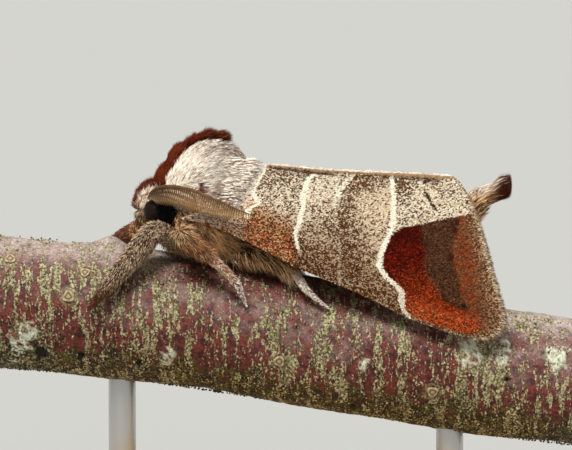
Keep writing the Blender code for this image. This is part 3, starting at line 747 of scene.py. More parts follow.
def hair_mesh(name, lines, outs, widths, shades, uv):
    """Closed hairs along lines of points: three-sided, thinner step by step, and pointed."""
    rings = lines.shape[1] - 1
    points, offsets = [], []
    for step in range(rings):
        ahead = lines[:, step + 1] - lines[:, step]
        across = unit(np.cross(ahead, outs)) * (widths * (1 - 0.5 * step / rings))[:, None] / 2
        over = unit(np.cross(across, ahead)) * np.linalg.norm(across, axis=1, keepdims=True)
        over *= np.where((over * outs).sum(1, keepdims=True) < 0, -1, 1)
        points += [lines[:, step] - across, lines[:, step] + across, lines[:, step] + over]
        level = 2 * step / rings - 1
        offsets += [(-1 + 0.3 * step, level), (1 - 0.3 * step, level), (0, level + 0.3)]
    points = np.stack([*points, lines[:, -1]], 1)
    offsets.append((0, 1.2))
    faces = [(0, 2, 1)]
    for step in range(rings - 1):
        for i in range(3):
            a, b = 3 * step + i, 3 * step + (i + 1) % 3
            faces += [(a, b, b + 3), (a, b + 3, a + 3)]
    faces += [(3 * rings - 3 + i, 3 * rings - 3 + (i + 1) % 3, 3 * rings) for i in range(3)]
    every = outward_faces(points, np.array(faces))
    obj = new_object(name, points.reshape(-1, 3), every)
    shades = np.concatenate([np.repeat(shades[:, :-1], 3, axis=1), shades[:, -1:]], 1)
    store(obj, "tint", shades.reshape(-1, 3))
    set_patches(obj, uv, offsets, every)
    obj.data.shade_smooth()
    return obj


def outward_faces(points, faces):
    """The faces of many like closed bodies, numbered through, each body's faces turned outwards."""
    count, per = points.shape[:2]
    a, b, c = (points[:, faces[:, i]] for i in range(3))
    inside_out = (a * np.cross(b, c)).sum((1, 2)) < 0
    every = np.arange(count)[:, None, None] * per + faces[None]
    every[inside_out] = every[inside_out][:, :, ::-1]
    return every.reshape(-1, 3)


def grow_hair(name, roots, ways, outs, uv, lengths, lifts, root_tint, tip_tint, draw, nodes,
              thick=1.0, stray=0.16, clumps=0.7):
    """Hairs that leave their roots outwards and bend over along the lie of the coat."""
    count = len(roots)
    ways = unit(ways - outs * (ways * outs).sum(1, keepdims=True))
    ways = unit(ways + stray * draw.normal(size=(count, 3)))
    lifts = (lifts * draw.uniform(0.6, 1.4, count))[:, None]
    lengths = (lengths * draw.uniform(0.7, 1.15, count))[:, None]
    clump = np.stack([grain(roots, 0.22, 50 + i) - 0.5 for i in range(3)], -1)
    middle = roots + unit(ways * (1 - lifts) + outs * 1.3 * lifts) * lengths * 0.45
    tips = middle + unit(ways * (1 - 0.6 * lifts) + outs * 0.5 * lifts + clump * clumps) * lengths * 0.55
    lines = np.stack([roots - outs * 0.04, middle, tips], 1)
    steps = np.array([0, 0.5, 1.0])[None, :, None]
    shades = root_tint[:, None] + (tip_tint - root_tint)[:, None] * steps
    shades *= draw.uniform(0.8, 1.2, (count, 1, 1))
    widths = hair_width(count, thick) * draw.uniform(0.8, 1.2, count)
    finish(hair_mesh(name, lines, outs, widths, shades, uv), hair_material(), nodes)


def hair_material():
    """Hair scales: dry chitin, which gives a soft silky edge and no clear reflection."""
    return bpy.data.materials.get("silky_hair_scales") or tinted_material(
        "silky_hair_scales", 0.05, 0.004, 0.22, Roughness=0.6, Sheen_Weight=0.01, Sheen_Roughness=0.4,
        Specular_IOR_Level=0.05,
    )


def outside_wings(points):
    """1 where the point isn't covered by a forewing."""
    x, y, z = points.T
    share = np.clip(np.abs(y) / HALF_WIDTH(x), 0, 1)
    t = np.arcsin(share) * 2 / np.pi
    covered = (x > root_x(t) + 0.25) & (z < roof_point(x, t, 0.05, 1)[:, 2]) & (z > COSTA(x) - 0.2)
    return np.where(covered, 0.0, 1.0)


def hair_width(count, factor=1.0):
    """The width at its root of each of so many hairs."""
    return np.full(count, bpy.context.scene.moth_looks.hair_width / MM * factor)


def make_thorax_coat():
    """The crest, collar, shoulders and breast."""
    draw = np.random.default_rng(SEEDS["thorax"])
    nodes = ("thorax",)
    # Crest: upright chocolate hair along the middle of the back, in soft lumps
    count = COUNTS["crest"]
    points, outs, uv, *_ = skin_roots(("thorax",), lambda p: crest_share(p) * (p[:, 0] < -2.0), count, draw)
    x, y = points[:, 0], points[:, 1]
    angle = np.radians(np.interp(x, (-6, -5, -4, -3, -2.2), (74, 64, 52, 34, 0)))
    lie = unit(np.stack([np.cos(angle), 0.3 * y, np.sin(angle)], -1))
    lump = 0.72 + 0.3 * np.abs(np.sin((x + 5.17) * np.pi / 0.62)) + 0.15 * grain(points, 0.3, 5)
    lengths = np.interp(x, (-6, -5.2, -4.6, -4, -3, -2.2), (0.36, 0.36, 0.46, 0.56, 0.6, 0.4)) * lump
    grey = ramp(x, -3.4, -2.4) * (draw.random(count) < 0.5)
    warm = mix(ink("chocolate"), ink("rust"), 0.45 * draw.random(count) ** 2)
    tint = mix(warm, mix(ink("fawn"), ink("umber"), 0.4), grey)
    root = mix(ink("chocolate_deep"), tint, 0.2)
    grow_hair("coat_crest", points, lie, outs, uv, lengths, 0.5, root, tint, draw, nodes,
              thick=0.9, stray=0.2, clumps=0.9)
    # Collar and shoulders: long cream hair that sweeps back over the roots of the wings
    count = COUNTS["shoulders"]

    def cream_places(p):
        rear = ramp(-1.75 - p[:, 0], 0.0, 0.12)
        return (1.001 - crest_share(p)) * ramp(p[:, 2], 12.8, 13.3) * outside_wings(p) * rear

    points, outs, uv, region, _ = skin_roots(("thorax",), cream_places, count, draw)
    x = points[:, 0]
    tint = held(body_tint(points, region, draw) * draw.uniform(0.9, 1.25, (count, 1)), 0.97)
    high = 1 - ramp(below_crest(points), 0.1, 1.3)
    lengths = np.interp(x, (-6, -5, -4, -3, -2.4, -1.7), (0.6, 0.62, 0.56, 0.56, 0.7, 0.8))
    lengths = lengths * (1 - 0.3 * high)
    lifts = 0.26 - 0.12 * high - 0.1 * ramp(x, -3.4, -2.4)
    onward = 1 - 0.7 * ramp(x, -3.1, -2.2) * (1 - 0.7 * high)
    outs = unit(outs * np.stack([onward, 1 + 0 * x, 1 + 0 * x], -1))
    low = 1 - ramp(points[:, 2], 14.2, 15.2)
    speckle = ranked(grain(points, 0.1, 33) + 0.5 * draw.random(count))
    often = 0.1 + 0.42 * high * ramp(x, -4.5, -3.4) + 0.22 * low * ramp(x, -4.8, -4.0)
    dark = mix(ink("umber"), mix(ink("rust"), ink("umber"), 0.35) * 1.2, low)
    grow_hair("coat_shoulders", points, coat_lie(points), outs, uv, lengths, lifts, tint * 0.98,
              np.where((speckle < often)[:, None], dark, tint), draw, nodes, stray=0.13,
              clumps=0.4)
    # Breast: dark, loose hair that hangs down over the bark
    count = COUNTS["breast"]
    points, outs, uv, region, _ = skin_roots(
        ("thorax",), lambda p: (1 - ramp(p[:, 2], 13.1, 13.5)) * outside_wings(p), count, draw)
    clump = 0.3 + 1.7 * ramp(grain(points, 0.13, 34), 0.35, 0.65)[:, None]
    tint = body_tint(points, region, draw) * draw.uniform(0.7, 1.3, (count, 1)) * clump
    lengths = np.interp(points[:, 2], (11.5, 12.4, 13.3), (1.0, 1.1, 0.55))
    grow_hair("coat_breast", points, coat_lie(points), outs, uv, lengths, 0.4, held(tint * 0.8),
              held(tint * 1.7), draw, nodes, stray=0.22)


def wing_outs(ahead, aside, side):
    """The directions away from a wing's upper face, from the two directions along it."""
    outs = unit(np.cross(ahead, aside))
    return outs * np.sign(outs[:, 1:2] * side + 0.6 * outs[:, 2:3])


def make_wing_base_coat():
    """Long soft scales over the root of each forewing, which hide where the wing joins the body."""
    for name, side in SIDES.items():
        draw = np.random.default_rng(SEEDS["wing_base"] + side)
        count = COUNTS["wing_base"]
        s, t = 0.085 * draw.random(count) ** 1.3, 0.02 + 0.8 * draw.random(count)
        points = forewing_point(s, t, side)
        ahead = forewing_point(s + 0.01, t, side) - points
        aside = forewing_point(s, t + 0.01, side) - points
        outs = wing_outs(ahead, aside, side)
        z = points[:, 2]
        brown = mix(ink("umber"), ink("rust"), 0.35)
        flecked = draw.random(count) < np.interp(z, (12.8, 13.6, 14.4, 15.4), (0.7, 0.45, 0.3, 0.15))
        tint = mix(ink("fawn"), ink("cream"), ramp(z, 12.8, 13.8)) * draw.uniform(0.85, 1.1, (count, 1))
        lengths = 0.62 - 3.0 * np.abs(s) - 0.15 * ramp(z, 14.0, 15.0)
        lie = unit(ahead) + np.array([0, 0, -0.12])
        grow_hair(f"coat_wing_base_{name}", points, lie, outs, np.stack([s, t], -1), lengths, 0.12, tint,
                  mix(tint, brown, 0.85 * flecked), draw, (f"forewing_{name}",))
        make_tegula(name, side, draw)


def make_tegula(name, side, draw):
    """Long hair that bridges from the rear of the thorax to the first line of the wing."""
    count = COUNTS["tegula"]
    s, t = draw.uniform(0.015, 0.1, count), draw.uniform(0.03, 0.68, count)
    tips = forewing_point(s, t, side)
    x = -1.95 - 1.5 * draw.random(count) ** 1.6
    z = tips[:, 2] + 0.1 + (x + 1.9) * -0.25 * ramp(tips[:, 2], 13.5, 15.2)
    waist = THORAX_WAIST(x)
    rise = np.clip((z - waist) / (THORAX_TOP(x) - waist - 0.45), -0.99, 0.99)
    out = np.sqrt(1 - rise**2) ** 1.7 * (THORAX_HALF(x) - 0.43)
    roots = np.stack([x, side * out, z], -1)
    outs = unit(np.stack([0 * x, side * out, 0.8 * (z - 13.0)], -1))
    tips = tips + outs * draw.uniform(0.02, 0.12, (count, 1)) + 0.05 * draw.normal(size=(count, 3))
    middle = roots * 0.45 + tips * 0.55 + outs * draw.uniform(0.08, 0.26, (count, 1))
    short = draw.random((count, 1)) < 0.55
    start = np.where(short, draw.uniform(0.1, 0.7, (count, 1)), 0)
    end = np.where(short, start + 0.3, draw.uniform(0.5, 1.0, (count, 1)))
    share = start[:, None] + (end - start)[:, None] * np.array([0, 0.5, 1.0])[None, :, None]
    lines = roots[:, None] * (1 - share) ** 2 + tips[:, None] * share**2
    lines += 2 * middle[:, None] * share * (1 - share)
    lines += (short * outs)[:, None] * np.array([0.02, 0.07, 0.05])[None, :, None]
    often = np.interp(z, (13.0, 14.0, 14.8), (0.75, 0.55, 0.2))
    flecked = short[:, 0] & (ranked(grain(middle, 0.1, 35) + 0.7 * draw.random(count)) < often)
    tint = mix(ink("fawn"), ink("cream"), ramp(z, 12.6, 13.6)) * draw.uniform(0.85, 1.12, (count, 1))
    brown = mix(ink("umber"), ink("rust"), 0.3)
    shades = np.stack([mix(tint, brown, dark * flecked) for dark in (0.6, 0.9, 0.9)], 1)
    uv = np.stack([(x + 3.0) / 4, t], -1)
    widths = hair_width(count) * draw.uniform(0.8, 1.2, count)
    obj = hair_mesh(f"coat_tegula_{name}", lines, outs, widths, shades, uv)
    finish(obj, hair_material(), ("thorax",))


def make_head_coat():
    """Face, crown tuft and palps."""
    draw = np.random.default_rng(SEEDS["head"])
    count = COUNTS["head"]
    points, outs, uv, region, ways = skin_roots(
        ("head", "palp"), lambda p: np.where(p[:, 0] < -5.0, 1.0, 0.1), count, draw)
    eye = np.sqrt(sum(((np.abs(points[:, i]) - abs(EYE_CENTRE[i])) / EYE_HALF[i]) ** 2 for i in range(3)))
    crown = crown_share(points)[:, None]
    upper = ramp(points[:, 2], 13.2, 13.6)[:, None]
    lie = np.array([-0.3, 0, -1.0]) * (1 - upper) + np.array([0.45, 0, 0.9]) * upper
    lie = lie * (1 - crown) + np.array([-0.35, 0, 1.0]) * crown
    on_palp = region == REGIONS.index("palp")
    ways = np.where(on_palp[:, None], ways, lie)
    crown = crown[:, 0]
    lengths = np.where(on_palp, 0.2, 0.42 + 0.1 * crown - 0.18 * crown * ramp(-6.2 - points[:, 0], 0, 0.35))
    lengths = np.where(eye < 1.3, 0.14, lengths)
    tint = body_tint(points, region, draw)
    grow_hair("coat_head", points, ways, outs, uv, lengths, 0.34 + 0.3 * crown, tint * 0.6, tint * 1.05,
              draw, ("head",), thick=0.85, stray=0.28)
    make_bristles(draw)


def make_bristles(draw):
    """Black bristles that hide the rear half of each eye."""
    per = COUNTS["bristles"]
    lines, outs = [], []
    for side in SIDES.values():
        turn, far = draw.uniform(0, 2 * np.pi, per), np.sqrt(draw.random(per))
        x, z = -5.2 + 0.33 * far * np.cos(turn), 13.38 + 0.36 * far * np.sin(turn)
        y = np.interp(x, (-5.5, -5.2, -4.85), (1.34, 1.36, 1.55)) + draw.uniform(-0.08, 0.04, per)
        roots = np.stack([x, side * y, z], -1)
        ahead, rise = draw.uniform(-0.9, 0.5, per), draw.uniform(-1.1, 0.9, per)
        lean = unit(np.stack([ahead, np.full(per, side * 0.4), rise], -1))
        reach = draw.uniform(0.14, 0.46, per)[:, None]
        bow = np.array([0, side * 0.05, 0.03])
        lines.append(np.stack([roots, roots + lean * reach * 0.5 + bow, roots + lean * reach], 1))
        outs.append(np.tile([0.0, side, 0.0], (per, 1)))
    lines, outs = np.concatenate(lines), np.concatenate(outs)
    count = len(lines)
    shades = np.full((count, 3, 3), 0.004)
    uv = 0.5 + (lines[:, 0, [0, 2]] - [EYE_CENTRE[0], EYE_CENTRE[2]]) * 0.3
    obj = hair_mesh("coat_bristles", lines, outs, np.full(count, 0.05), shades, uv)
    finish(obj, hair_material(), ("head",))


def make_leg_coat():
    """Fur along the legs: deep on the thighs, where it hangs over the bark, and short on the feet."""
    draw = np.random.default_rng(SEEDS["legs"])
    for name, kinds in (("forelegs", ("foreleg",)), ("rear_legs", ("midleg", "hindleg"))):
        count = COUNTS[name]
        points, outs, uv, region, ways = skin_roots(kinds, lambda p: 1 - 0.5 * (p[:, 1] > 0), count, draw)
        x, y, z = points.T
        fore, middle = (region == REGIONS.index(kind) for kind in ("foreleg", "midleg"))
        lengths = np.where(fore, 0.27 - 0.1 * (y > 0), 0.24) * (0.45 + 0.55 * ramp(z, 9.3, 10.6))
        thigh = np.where(middle, z > 11.7, (x < 0.1) & ~fore)
        lengths = np.where(thigh, np.where(middle, 0.55, 0.95), lengths)
        lie = np.where(thigh[:, None], [0.75, 0, -1.0], ways)
        lie = lie + np.where(fore, 0.5, 0.0)[:, None] * np.array([0, 0, -1.0])
        tint = body_tint(points, region, draw) * draw.uniform(0.7, 1.4, (count, 1))
        # Rear legs are given lighter tints than the forelegs, the middle legs most towards their rear:
        # painted light where the wings shade them
        tint *= np.where(fore, 1.1, np.where(middle, 1.5 + 0.7 * ramp(x, -3.6, -3.0), 1.5))[:, None]
        nodes = [f"{kind}_{side}" for kind in kinds for side in SIDES]
        grow_hair(f"coat_{name}", points, lie, outs, uv, lengths, np.where(fore, 0.34, 0.36), tint * 0.6,
                  np.minimum(tint * 1.15, 0.95), draw, nodes, thick=0.7, clumps=0.15)


TAIL_LEVEL = smooth((7.8, 13.45), (8.4, 13.85), (9.0, 14.11), (9.45, 14.37), (9.8, 14.45))
TAIL_GIRTH = smooth((7.8, 0.52), (8.4, 0.46), (9.0, 0.35), (9.45, 0.42), (9.8, 0.48))


def make_tail_coat():
    """The tail brush: long hair that narrows, then flares to a blunt dark end. Short hair before it."""
    draw = np.random.default_rng(SEEDS["tail"])
    count, steps = COUNTS["tail"], 5
    turn, rim = draw.uniform(0, 2 * np.pi, count), np.sqrt(draw.random(count))
    start, end = draw.uniform(7.75, 8.45, count), 9.93 - 0.22 * draw.random(count) ** 1.5 - 0.06 * rim**3
    sway = 0.05 * draw.normal(size=(2, count))
    short = draw.random(count) < 0.3
    end = np.where(short, end - draw.uniform(0.2, 0.9, count), end)
    rim = np.where(short, 0.85 + 0.15 * rim, rim)
    lines, shades = [], []
    high = ramp(np.sin(turn) * rim, -0.1, 0.6)
    hue = draw.random(count)
    side = mix(ink("umber") * 1.5, ink("fawn") * 1.5, ramp(hue, 0.15, 0.6))
    base = mix(side, mix(ink("fawn") * 1.2, ink("cream"), ramp(hue, 0.1, 0.5)), high)
    for step in range(steps):
        x = start + (end - start) * step / (steps - 1)
        girth = TAIL_GIRTH(x) * rim * (0.75 + 0.25 * min(step, 2) / 2)
        centre = TAIL_LEVEL(x) + 0.035 * draw.normal(size=count)
        aside = np.cos(turn) * girth + sway[0] * step / 4
        lines.append(np.stack([x, aside, centre + np.sin(turn) * girth + sway[1] * step / 4], -1))
        late = ramp(x + 0.12 * draw.normal(size=count), 8.95 + 0.2 * high, 9.25 + 0.1 * high)
        tip = ink("tail_tip") * (0.45 + 0.1 * step)
        shades.append(mix(held(base * (1.35 + 0.06 * step), 0.8), tip, late))
    lines, shades = np.stack(lines, 1), held(np.stack(shades, 1) * draw.uniform(0.55, 1.3, (count, 1, 1)))
    outs = unit(np.stack([0 * turn, np.cos(turn), np.sin(turn)], -1))
    uv = np.stack([turn / (2 * np.pi), (start - 7.75) / 2], -1)
    obj = hair_mesh("coat_tail", lines, outs, hair_width(count, 0.9), shades, uv)
    finish(obj, hair_material(), ("tail_tuft",))
    count = COUNTS["abdomen"]

    def ends(p):
        return 0.1 + 2.5 * ramp(p[:, 0], 7.0, 7.6) + 1.5 * (p[:, 0] < 0.8)

    points, outs, uv, region, ways = skin_roots(("abdomen", "tail"), ends, count, draw)
    tint = body_tint(points, region, draw)
    end = ramp(points[:, 0], 7.4, 8.2)
    lengths = 0.55 + 0.05 * end + 0.3 * (points[:, 0] < 1.8)
    lie = ways + (points[:, 0] < 1.5)[:, None] * np.array([0, 0, -0.5])
    grow_hair("coat_abdomen", points, lie, outs, uv, lengths, 0.25 + 0.2 * end, tint * 0.75,
              held(tint * 1.4), draw, ("abdomen",))


# Markings of the forewing as (height, place along) pairs, seen from the side
LINE_1 = ((13.2, -1.7), (13.58, -1.63), (13.8, -1.19), (14.3, -1.48), (15.04, -1.09), (15.48, -0.8))
LINE_2 = (
    (11.7, 0.57), (12.09, 0.48), (12.52, 0.37), (13.09, 0.59), (13.65, 0.74), (14.04, 0.7),
    (14.74, 0.96), (15.19, 1.48),
)
LINE_3 = ((11.83, 2.3), (12.96, 2.13), (13.87, 2.2), (14.3, 2.35), (14.96, 2.96))
LINE_4 = (
    (8.88, 5.4), (9.26, 5.07), (9.63, 4.97), (10.0, 5.0), (10.34, 4.74), (10.72, 4.26),
    (11.19, 4.0), (11.66, 4.08), (12.8, 4.6), (13.88, 4.67), (14.87, 4.6),
)
PATCH_TOP = (
    (4.7, 12.5), (4.97, 12.77), (5.54, 12.86), (6.67, 13.08), (7.14, 13.17), (7.8, 13.31),
    (8.3, 13.38),
)


def past_line(x, z, line):
    """How far a point lies behind a line."""
    return x - np.interp(z, *zip(*line))


def stroke(distance, half, rough):
    """A line's cover, with a ragged edge."""
    half = half * (0.55 + 0.75 * rough)
    return 1 - ramp(np.abs(distance), half - 0.02, half + 0.02)


def patch_tint(points, t, speck, blotch):
    """The chocolate tip: dark red inside, then brown, then rust dusted with tan, over an orange rim."""
    x, z = points[:, 0], points[:, 2]
    fleck = speck[:, None]
    deep = ramp(z + 0.5 * blotch, 9.6, 11.2)
    red = mix(mix(ink("patch_orange"), ink("patch_red"), 0.45), ink("patch_red"), deep)
    red = pick(fleck, (0.35, red * 0.45), (0.72, red), rest=red * 2.3)
    red = mix(red, ink("patch_red") * 0.55, ramp(z - np.interp(x, *zip(*PATCH_TOP)), -1.1, 0.0) * 0.8)
    brown = ink("patch_brown") * pick(fleck, (0.35, 0.45), (0.75, 0.85), rest=1.4)
    bound = np.interp(z, (9.2, 9.65, 10.5, 11.2, 13.2), (7.7, 6.8, 6.3, 6.0, 5.85)) + 0.25 * blotch
    tip = mix(red, brown, ramp(x, bound - 0.22, bound + 0.22))
    rust = pick(fleck, (0.5, ink("patch_rust")), (0.68, ink("fringe") * 0.4), rest=ink("patch_brown"))
    outer = np.interp(z, (9.17, 9.65, 10.65, 11.43, 12.39, 13.04), (7.9, 7.6, 7.4, 7.15, 7.3, 7.45))
    tip = mix(tip, rust, ramp(x + 0.25 * blotch, outer - 0.1, outer + 0.14))
    for place_x, place_z in ((7.3, 12.6), (7.14, 11.5), (7.66, 9.4), (7.42, 12.95)):
        near = 1 - ramp(np.hypot((x - place_x) * 1.6, z - place_z), 0.08, 0.26)
        tip = mix(tip, ink("patch_red") * 0.5, 0.8 * near)
    rim = 1 - ramp(z - COSTA(x) + 0.5 * blotch, 0.7, 1.15)
    dull = ink("fringe") * 0.8
    orange = pick(fleck, (0.6, ink("patch_orange") * 1.35), (0.9, ink("patch_rust") * 0.5), rest=dull)
    tip = mix(tip, orange, rim * (1 - ramp(x, 8.0, 8.7)))
    reach = np.interp(z, (9.0, 10.5, 12.5), (1.1, 0.85, 0.5))
    dust = 1 - ramp((termen_x(t) - x + 0.3 * (speck - 0.5) + 0.3 * blotch) / reach, 0.1, 1.0)
    tan = pick(fleck, (0.25, ink("fringe")), (0.6, ink("fringe") * 0.7), rest=ink("scale_dark") * 0.8)
    tip = mix(tip, tan, 0.85 * dust)
    return mix(tip, tan, 1 - ramp(z - COSTA(x), 0.1, 0.2))


def wing_tint(points, t, draw):
    """Colour of each scale of the forewing, from the markings at its place."""
    x, z = points[:, 0], points[:, 2]
    count = len(points)
    speck = ranked(0.35 * grain(points, (0.07, 0.06, 0.06), 61) + 0.8 * draw.random(count))
    rough = 0.6 * grain(points, 0.11, 62) + 0.4 * draw.random(count)
    blotch = grain(points, 0.8, 63) - 0.5
    one, two, three, four = (past_line(x, z, line) for line in (LINE_1, LINE_2, LINE_3, LINE_4))
    # The wing is darker towards its lower edge: partly browner scales, partly painted shade
    low, top = 1 - ramp(z + 0.9 * ramp(x, 2.5, 4.0), 11.0, 14.3), ramp(z, 14.0, 14.8)
    high = 1 - low
    dark = 0.18 + 0.32 * low + 0.22 * blotch + 0.1 * ramp(RIDGE(x) - z, 0.8, 0.2)
    dark += ((one > 0) & (two < 0)) * (0.06 + 0.22 * top)
    dark += 0.48 * np.exp(-((three - 0.3) / 0.5) ** 2) * high - 0.08 * np.exp(-((four + 0.6) / 0.5) ** 2)
    dark += 0.3 * ramp(z, 13.9, 14.8) * ((three > 0.1) & (four < 0))
    dark += (0.15 + 0.4 * ramp(z, 13.7, 14.5)) * np.exp(-((four - 0.4) / 0.5) ** 2) * (four > 0)
    dark -= 0.03 * ((two > 0) & (three < 0)) * high + 0.1 * (one < 0) + 0.03 * (four > 0)
    dark = np.minimum(dark, 0.62)
    pale = mix(ink("scale_pale"), ink("scale_tan"), 0.8 * low + 0.3 * ((three > 0) & (four < 0)) * high)
    pale = mix(pale, ink("cream") * 0.95, ramp(-one, 0, 0.2) * ramp(z, 13.3, 14.0) * 0.8)
    pale = pale * (1 - 0.35 * low[:, None])
    middle = mix(ink("scale_tan"), ink("scale_tan") * np.array([0.55, 0.38, 0.24]), low)
    ground = mix(pale, middle, ramp(speck, 0.3 + 0.2 * high, 0.75 + 0.15 * high))
    shade = ink("scale_dark") * mix(WHITE, np.array([0.75, 0.5, 0.32]), low)
    ground = mix(ground, shade, ramp(speck, 0.97 - dark, 1.03 - dark))
    rusty = (1 - ramp(x, -1.75, -1.5)) * (1 - ramp(z, 13.0, 13.4))
    ground = mix(ground, ink("patch_rust"), 0.7 * rusty * ramp(speck, 0.5, 0.6))
    warm = ramp(x, -2.0, -1.4) * (1 - ramp(two, -0.3, 0.1)) * (1 - ramp(z - COSTA(x), 1.2, 2.3))
    ground = ground * mix(WHITE, np.array([0.76, 0.48, 0.3]), warm)
    band = ramp(x, -2.0, -1.5) * (1 - ramp(x, 0.0, 0.6)) * (1 - ramp(z - COSTA(x) + 0.5 * blotch, 0.7, 1.25))
    hue, other = draw.random((2, count, 1))
    orange = pick(hue, (0.46, ink("rust") * 1.25), (0.72, ink("scale_dark") * 0.7), rest=ink("scale_tan"))
    ground = np.where(other < 0.9 * band[:, None], orange, ground)
    streak = stroke(past_line(x, z, ((13.45, 6.5), (14.2, 6.08), (14.5, 6.05), (14.8, 6.15))), 0.08, rough)
    streak *= ramp(z, 13.4, 13.5) * (1 - ramp(z, 14.25, 14.3) * (1 - ramp(z, 14.5, 14.55)))
    ground = mix(ground, ink("scale_dark") * 0.35, streak * (rough > 0.35))
    flank = np.interp(x, *zip(*PATCH_TOP))
    inside = ramp(four, 0.06, 0.12) * (1 - ramp(z - flank + 0.06 * rough, -0.03, 0.03))
    result = mix(ground, patch_tint(points, t, speck, blotch), inside)
    cover = np.maximum.reduce([
        stroke(one, 0.13, rough) * ramp(z, 13.15, 13.25),
        stroke(two, np.interp(z, (11.6, 12.6, 13.2), (0.06, 0.1, 0.13)), rough) * ramp(z, 11.5, 12.1),
        stroke(three + 0.03, 0.15, rough) * 0.75 * ramp(z, 13.3, 14.2) * (rough > 0.3),
        stroke(three, 0.08, rough) * 0.16 * (rough > 0.45),
        stroke(four, np.interp(z, (8.9, 9.8, 10.5, 13.0, 14.9), (0.07, 0.17, 0.15, 0.13, 0.1)), rough)
        * (0.75 + 0.25 * ramp(z, 9.9, 10.5)),
    ])
    result = mix(result, ink("line"), cover)
    along = ramp(x, -1.2, -0.5)
    fold = grain(np.stack([x, 60 * t, 0 * x], -1), (1.2, 0.8, 1), 64)
    keel = mix(ink("cream") * 0.9, ink("fawn") * 0.75, ramp(t + 0.02 * (fold - 0.5), 0.006, 0.022))
    keel = keel * (0.75 + 0.35 * speck[:, None])
    result = mix(result, keel, along * (t < HEM + 0.004))
    # Painted shadow: a dark line just below the keel, where it stands up from the wing
    under = (t >= HEM + 0.004) * (1 - ramp(t, HEM + 0.011, HEM + 0.02)) * along * (1 - ramp(x, 6.4, 7.0))
    return mix(result, ink("scale_dark") * 0.4, 0.85 * under * ramp(fold, 0.3, 0.5))


def wing_material():
    """Wing scales: flat chitin plates laid like tiles, dry, with a faint sheen across the wing."""
    return bpy.data.materials.get("wing_scale_plates") or tinted_material(
        "wing_scale_plates", 0.045, 0.003, 0.3, Roughness=0.66, Sheen_Weight=0.005, Sheen_Roughness=0.5,
        Specular_IOR_Level=0.03,
    )


def make_membrane(name, point, side, tint):
    """A thin wing drawn over a grid, finer towards the ridge, and closed by a wall of even thickness."""
    wing = primitive(name, bpy.ops.mesh.primitive_grid_add, x_subdivisions=90, y_subdivisions=60, size=2)
    flat = vertices(wing)
    s, t = (flat[:, 0] + 1) / 2, ((flat[:, 1] + 1) / 2) ** 1.6
    reshape(wing, lambda _: point(s, t, side))
    store(wing, "tint", tint(vertices(wing), t))
    edit_mesh(wing, face_outwards)
    outward = sum(p.normal.y * side + p.normal.z for p in wing.data.polygons)
    if outward < 0:
        edit_mesh(wing, bpy.ops.mesh.flip_normals)
    apply_modifier(wing, "wall", "SOLIDIFY", thickness=MEMBRANE, offset=-1)
    wing.data.shade_smooth()
    wing.data.uv_layers[0].name = "OFBake"
    finish(wing, wing_material(), (name,))


def lay_scales(name, point, side, count, size, tint, node, seed):
    """Closed kite-shaped scales all over a wing, each with its tip lifted over the next."""
    draw = np.random.default_rng(seed)
    number = np.arange(int(count * 2.4))
    s, t = (0.5 + number * 0.7548776662) % 1, (0.5 + number * 0.5698402910) % 1
    step = 1e-3
    here = point(s, t, side)
    ahead = (point(s + step, t, side) - here) / step
    aside = (point(s, np.minimum(t + step, 1), side) - here) / step
    area = np.linalg.norm(np.cross(ahead, aside), axis=1)
    keep = np.where(draw.random(len(s)) < area / np.quantile(area, 0.98))[0][:count]
    here, ahead, s, t = here[keep], unit(ahead[keep]), s[keep], t[keep]
    outs = wing_outs(ahead, aside[keep], side)
    total = len(here)
    shades = tint(here + ahead * size * 0.5, t, draw) * draw.uniform(0.7, 1.22, (total, 1))
    bold = shades.sum(1, keepdims=True) < 0.3
    ahead = unit(ahead + 0.2 * draw.normal(size=(total, 3)))
    across = unit(np.cross(ahead, outs))
    long = (size * draw.uniform(0.75, 1.25, total))[:, None]
    wide = long * draw.uniform(0.38, 0.55, total)[:, None] * (1 + 0.4 * bold)
    lift = draw.uniform(0.015, 0.035, total)[:, None] + 0.012 * bold
    points = np.stack([
        here - outs * 0.012,
        here + ahead * long * 0.55 - across * wide * 0.5 + outs * lift * 0.6,
        here + ahead * long * 0.55 + across * wide * 0.5 + outs * lift * 0.6,
        here + ahead * long + outs * lift,
    ], 1)
    faces = np.array([(0, 2, 3), (0, 3, 1), (0, 1, 2), (1, 3, 2)])
    every = outward_faces(points, faces)
    obj = new_object(name, points.reshape(-1, 3), every)
    store(obj, "tint", np.repeat(shades, 4, axis=0))
    set_patches(obj, np.stack([s, t], -1), [(-1, -1), (1, -1), (-1, 1), (1, 1)], every)
    finish(obj, wing_material(), (node,))


def hindwing_tint(points, _):
    """Colour of the hindwing: plain grey-buff."""
    return mix(ink("scale_tan") * 0.6, ink("scale_pale") * 0.7, grain(points, 0.3, 71))


def make_wings():
    """Forewings and hindwings, their scales and the fringe along the hind edge."""
    size = bpy.context.scene.moth_looks.scale_length / MM
    for name, side in SIDES.items():
        still = np.random.default_rng(SEEDS["membrane"])
        make_membrane(
            f"forewing_{name}", forewing_point, side, lambda p, t: wing_tint(p, t, still) * 0.7)
        lay_scales(f"scales_forewing_{name}", forewing_point, side, COUNTS["scales"], size, wing_tint,
                   f"forewing_{name}", SEEDS["scales"] + side)
        make_membrane(f"hindwing_{name}", hindwing_point, side, hindwing_tint)
        make_fringe(name, side)


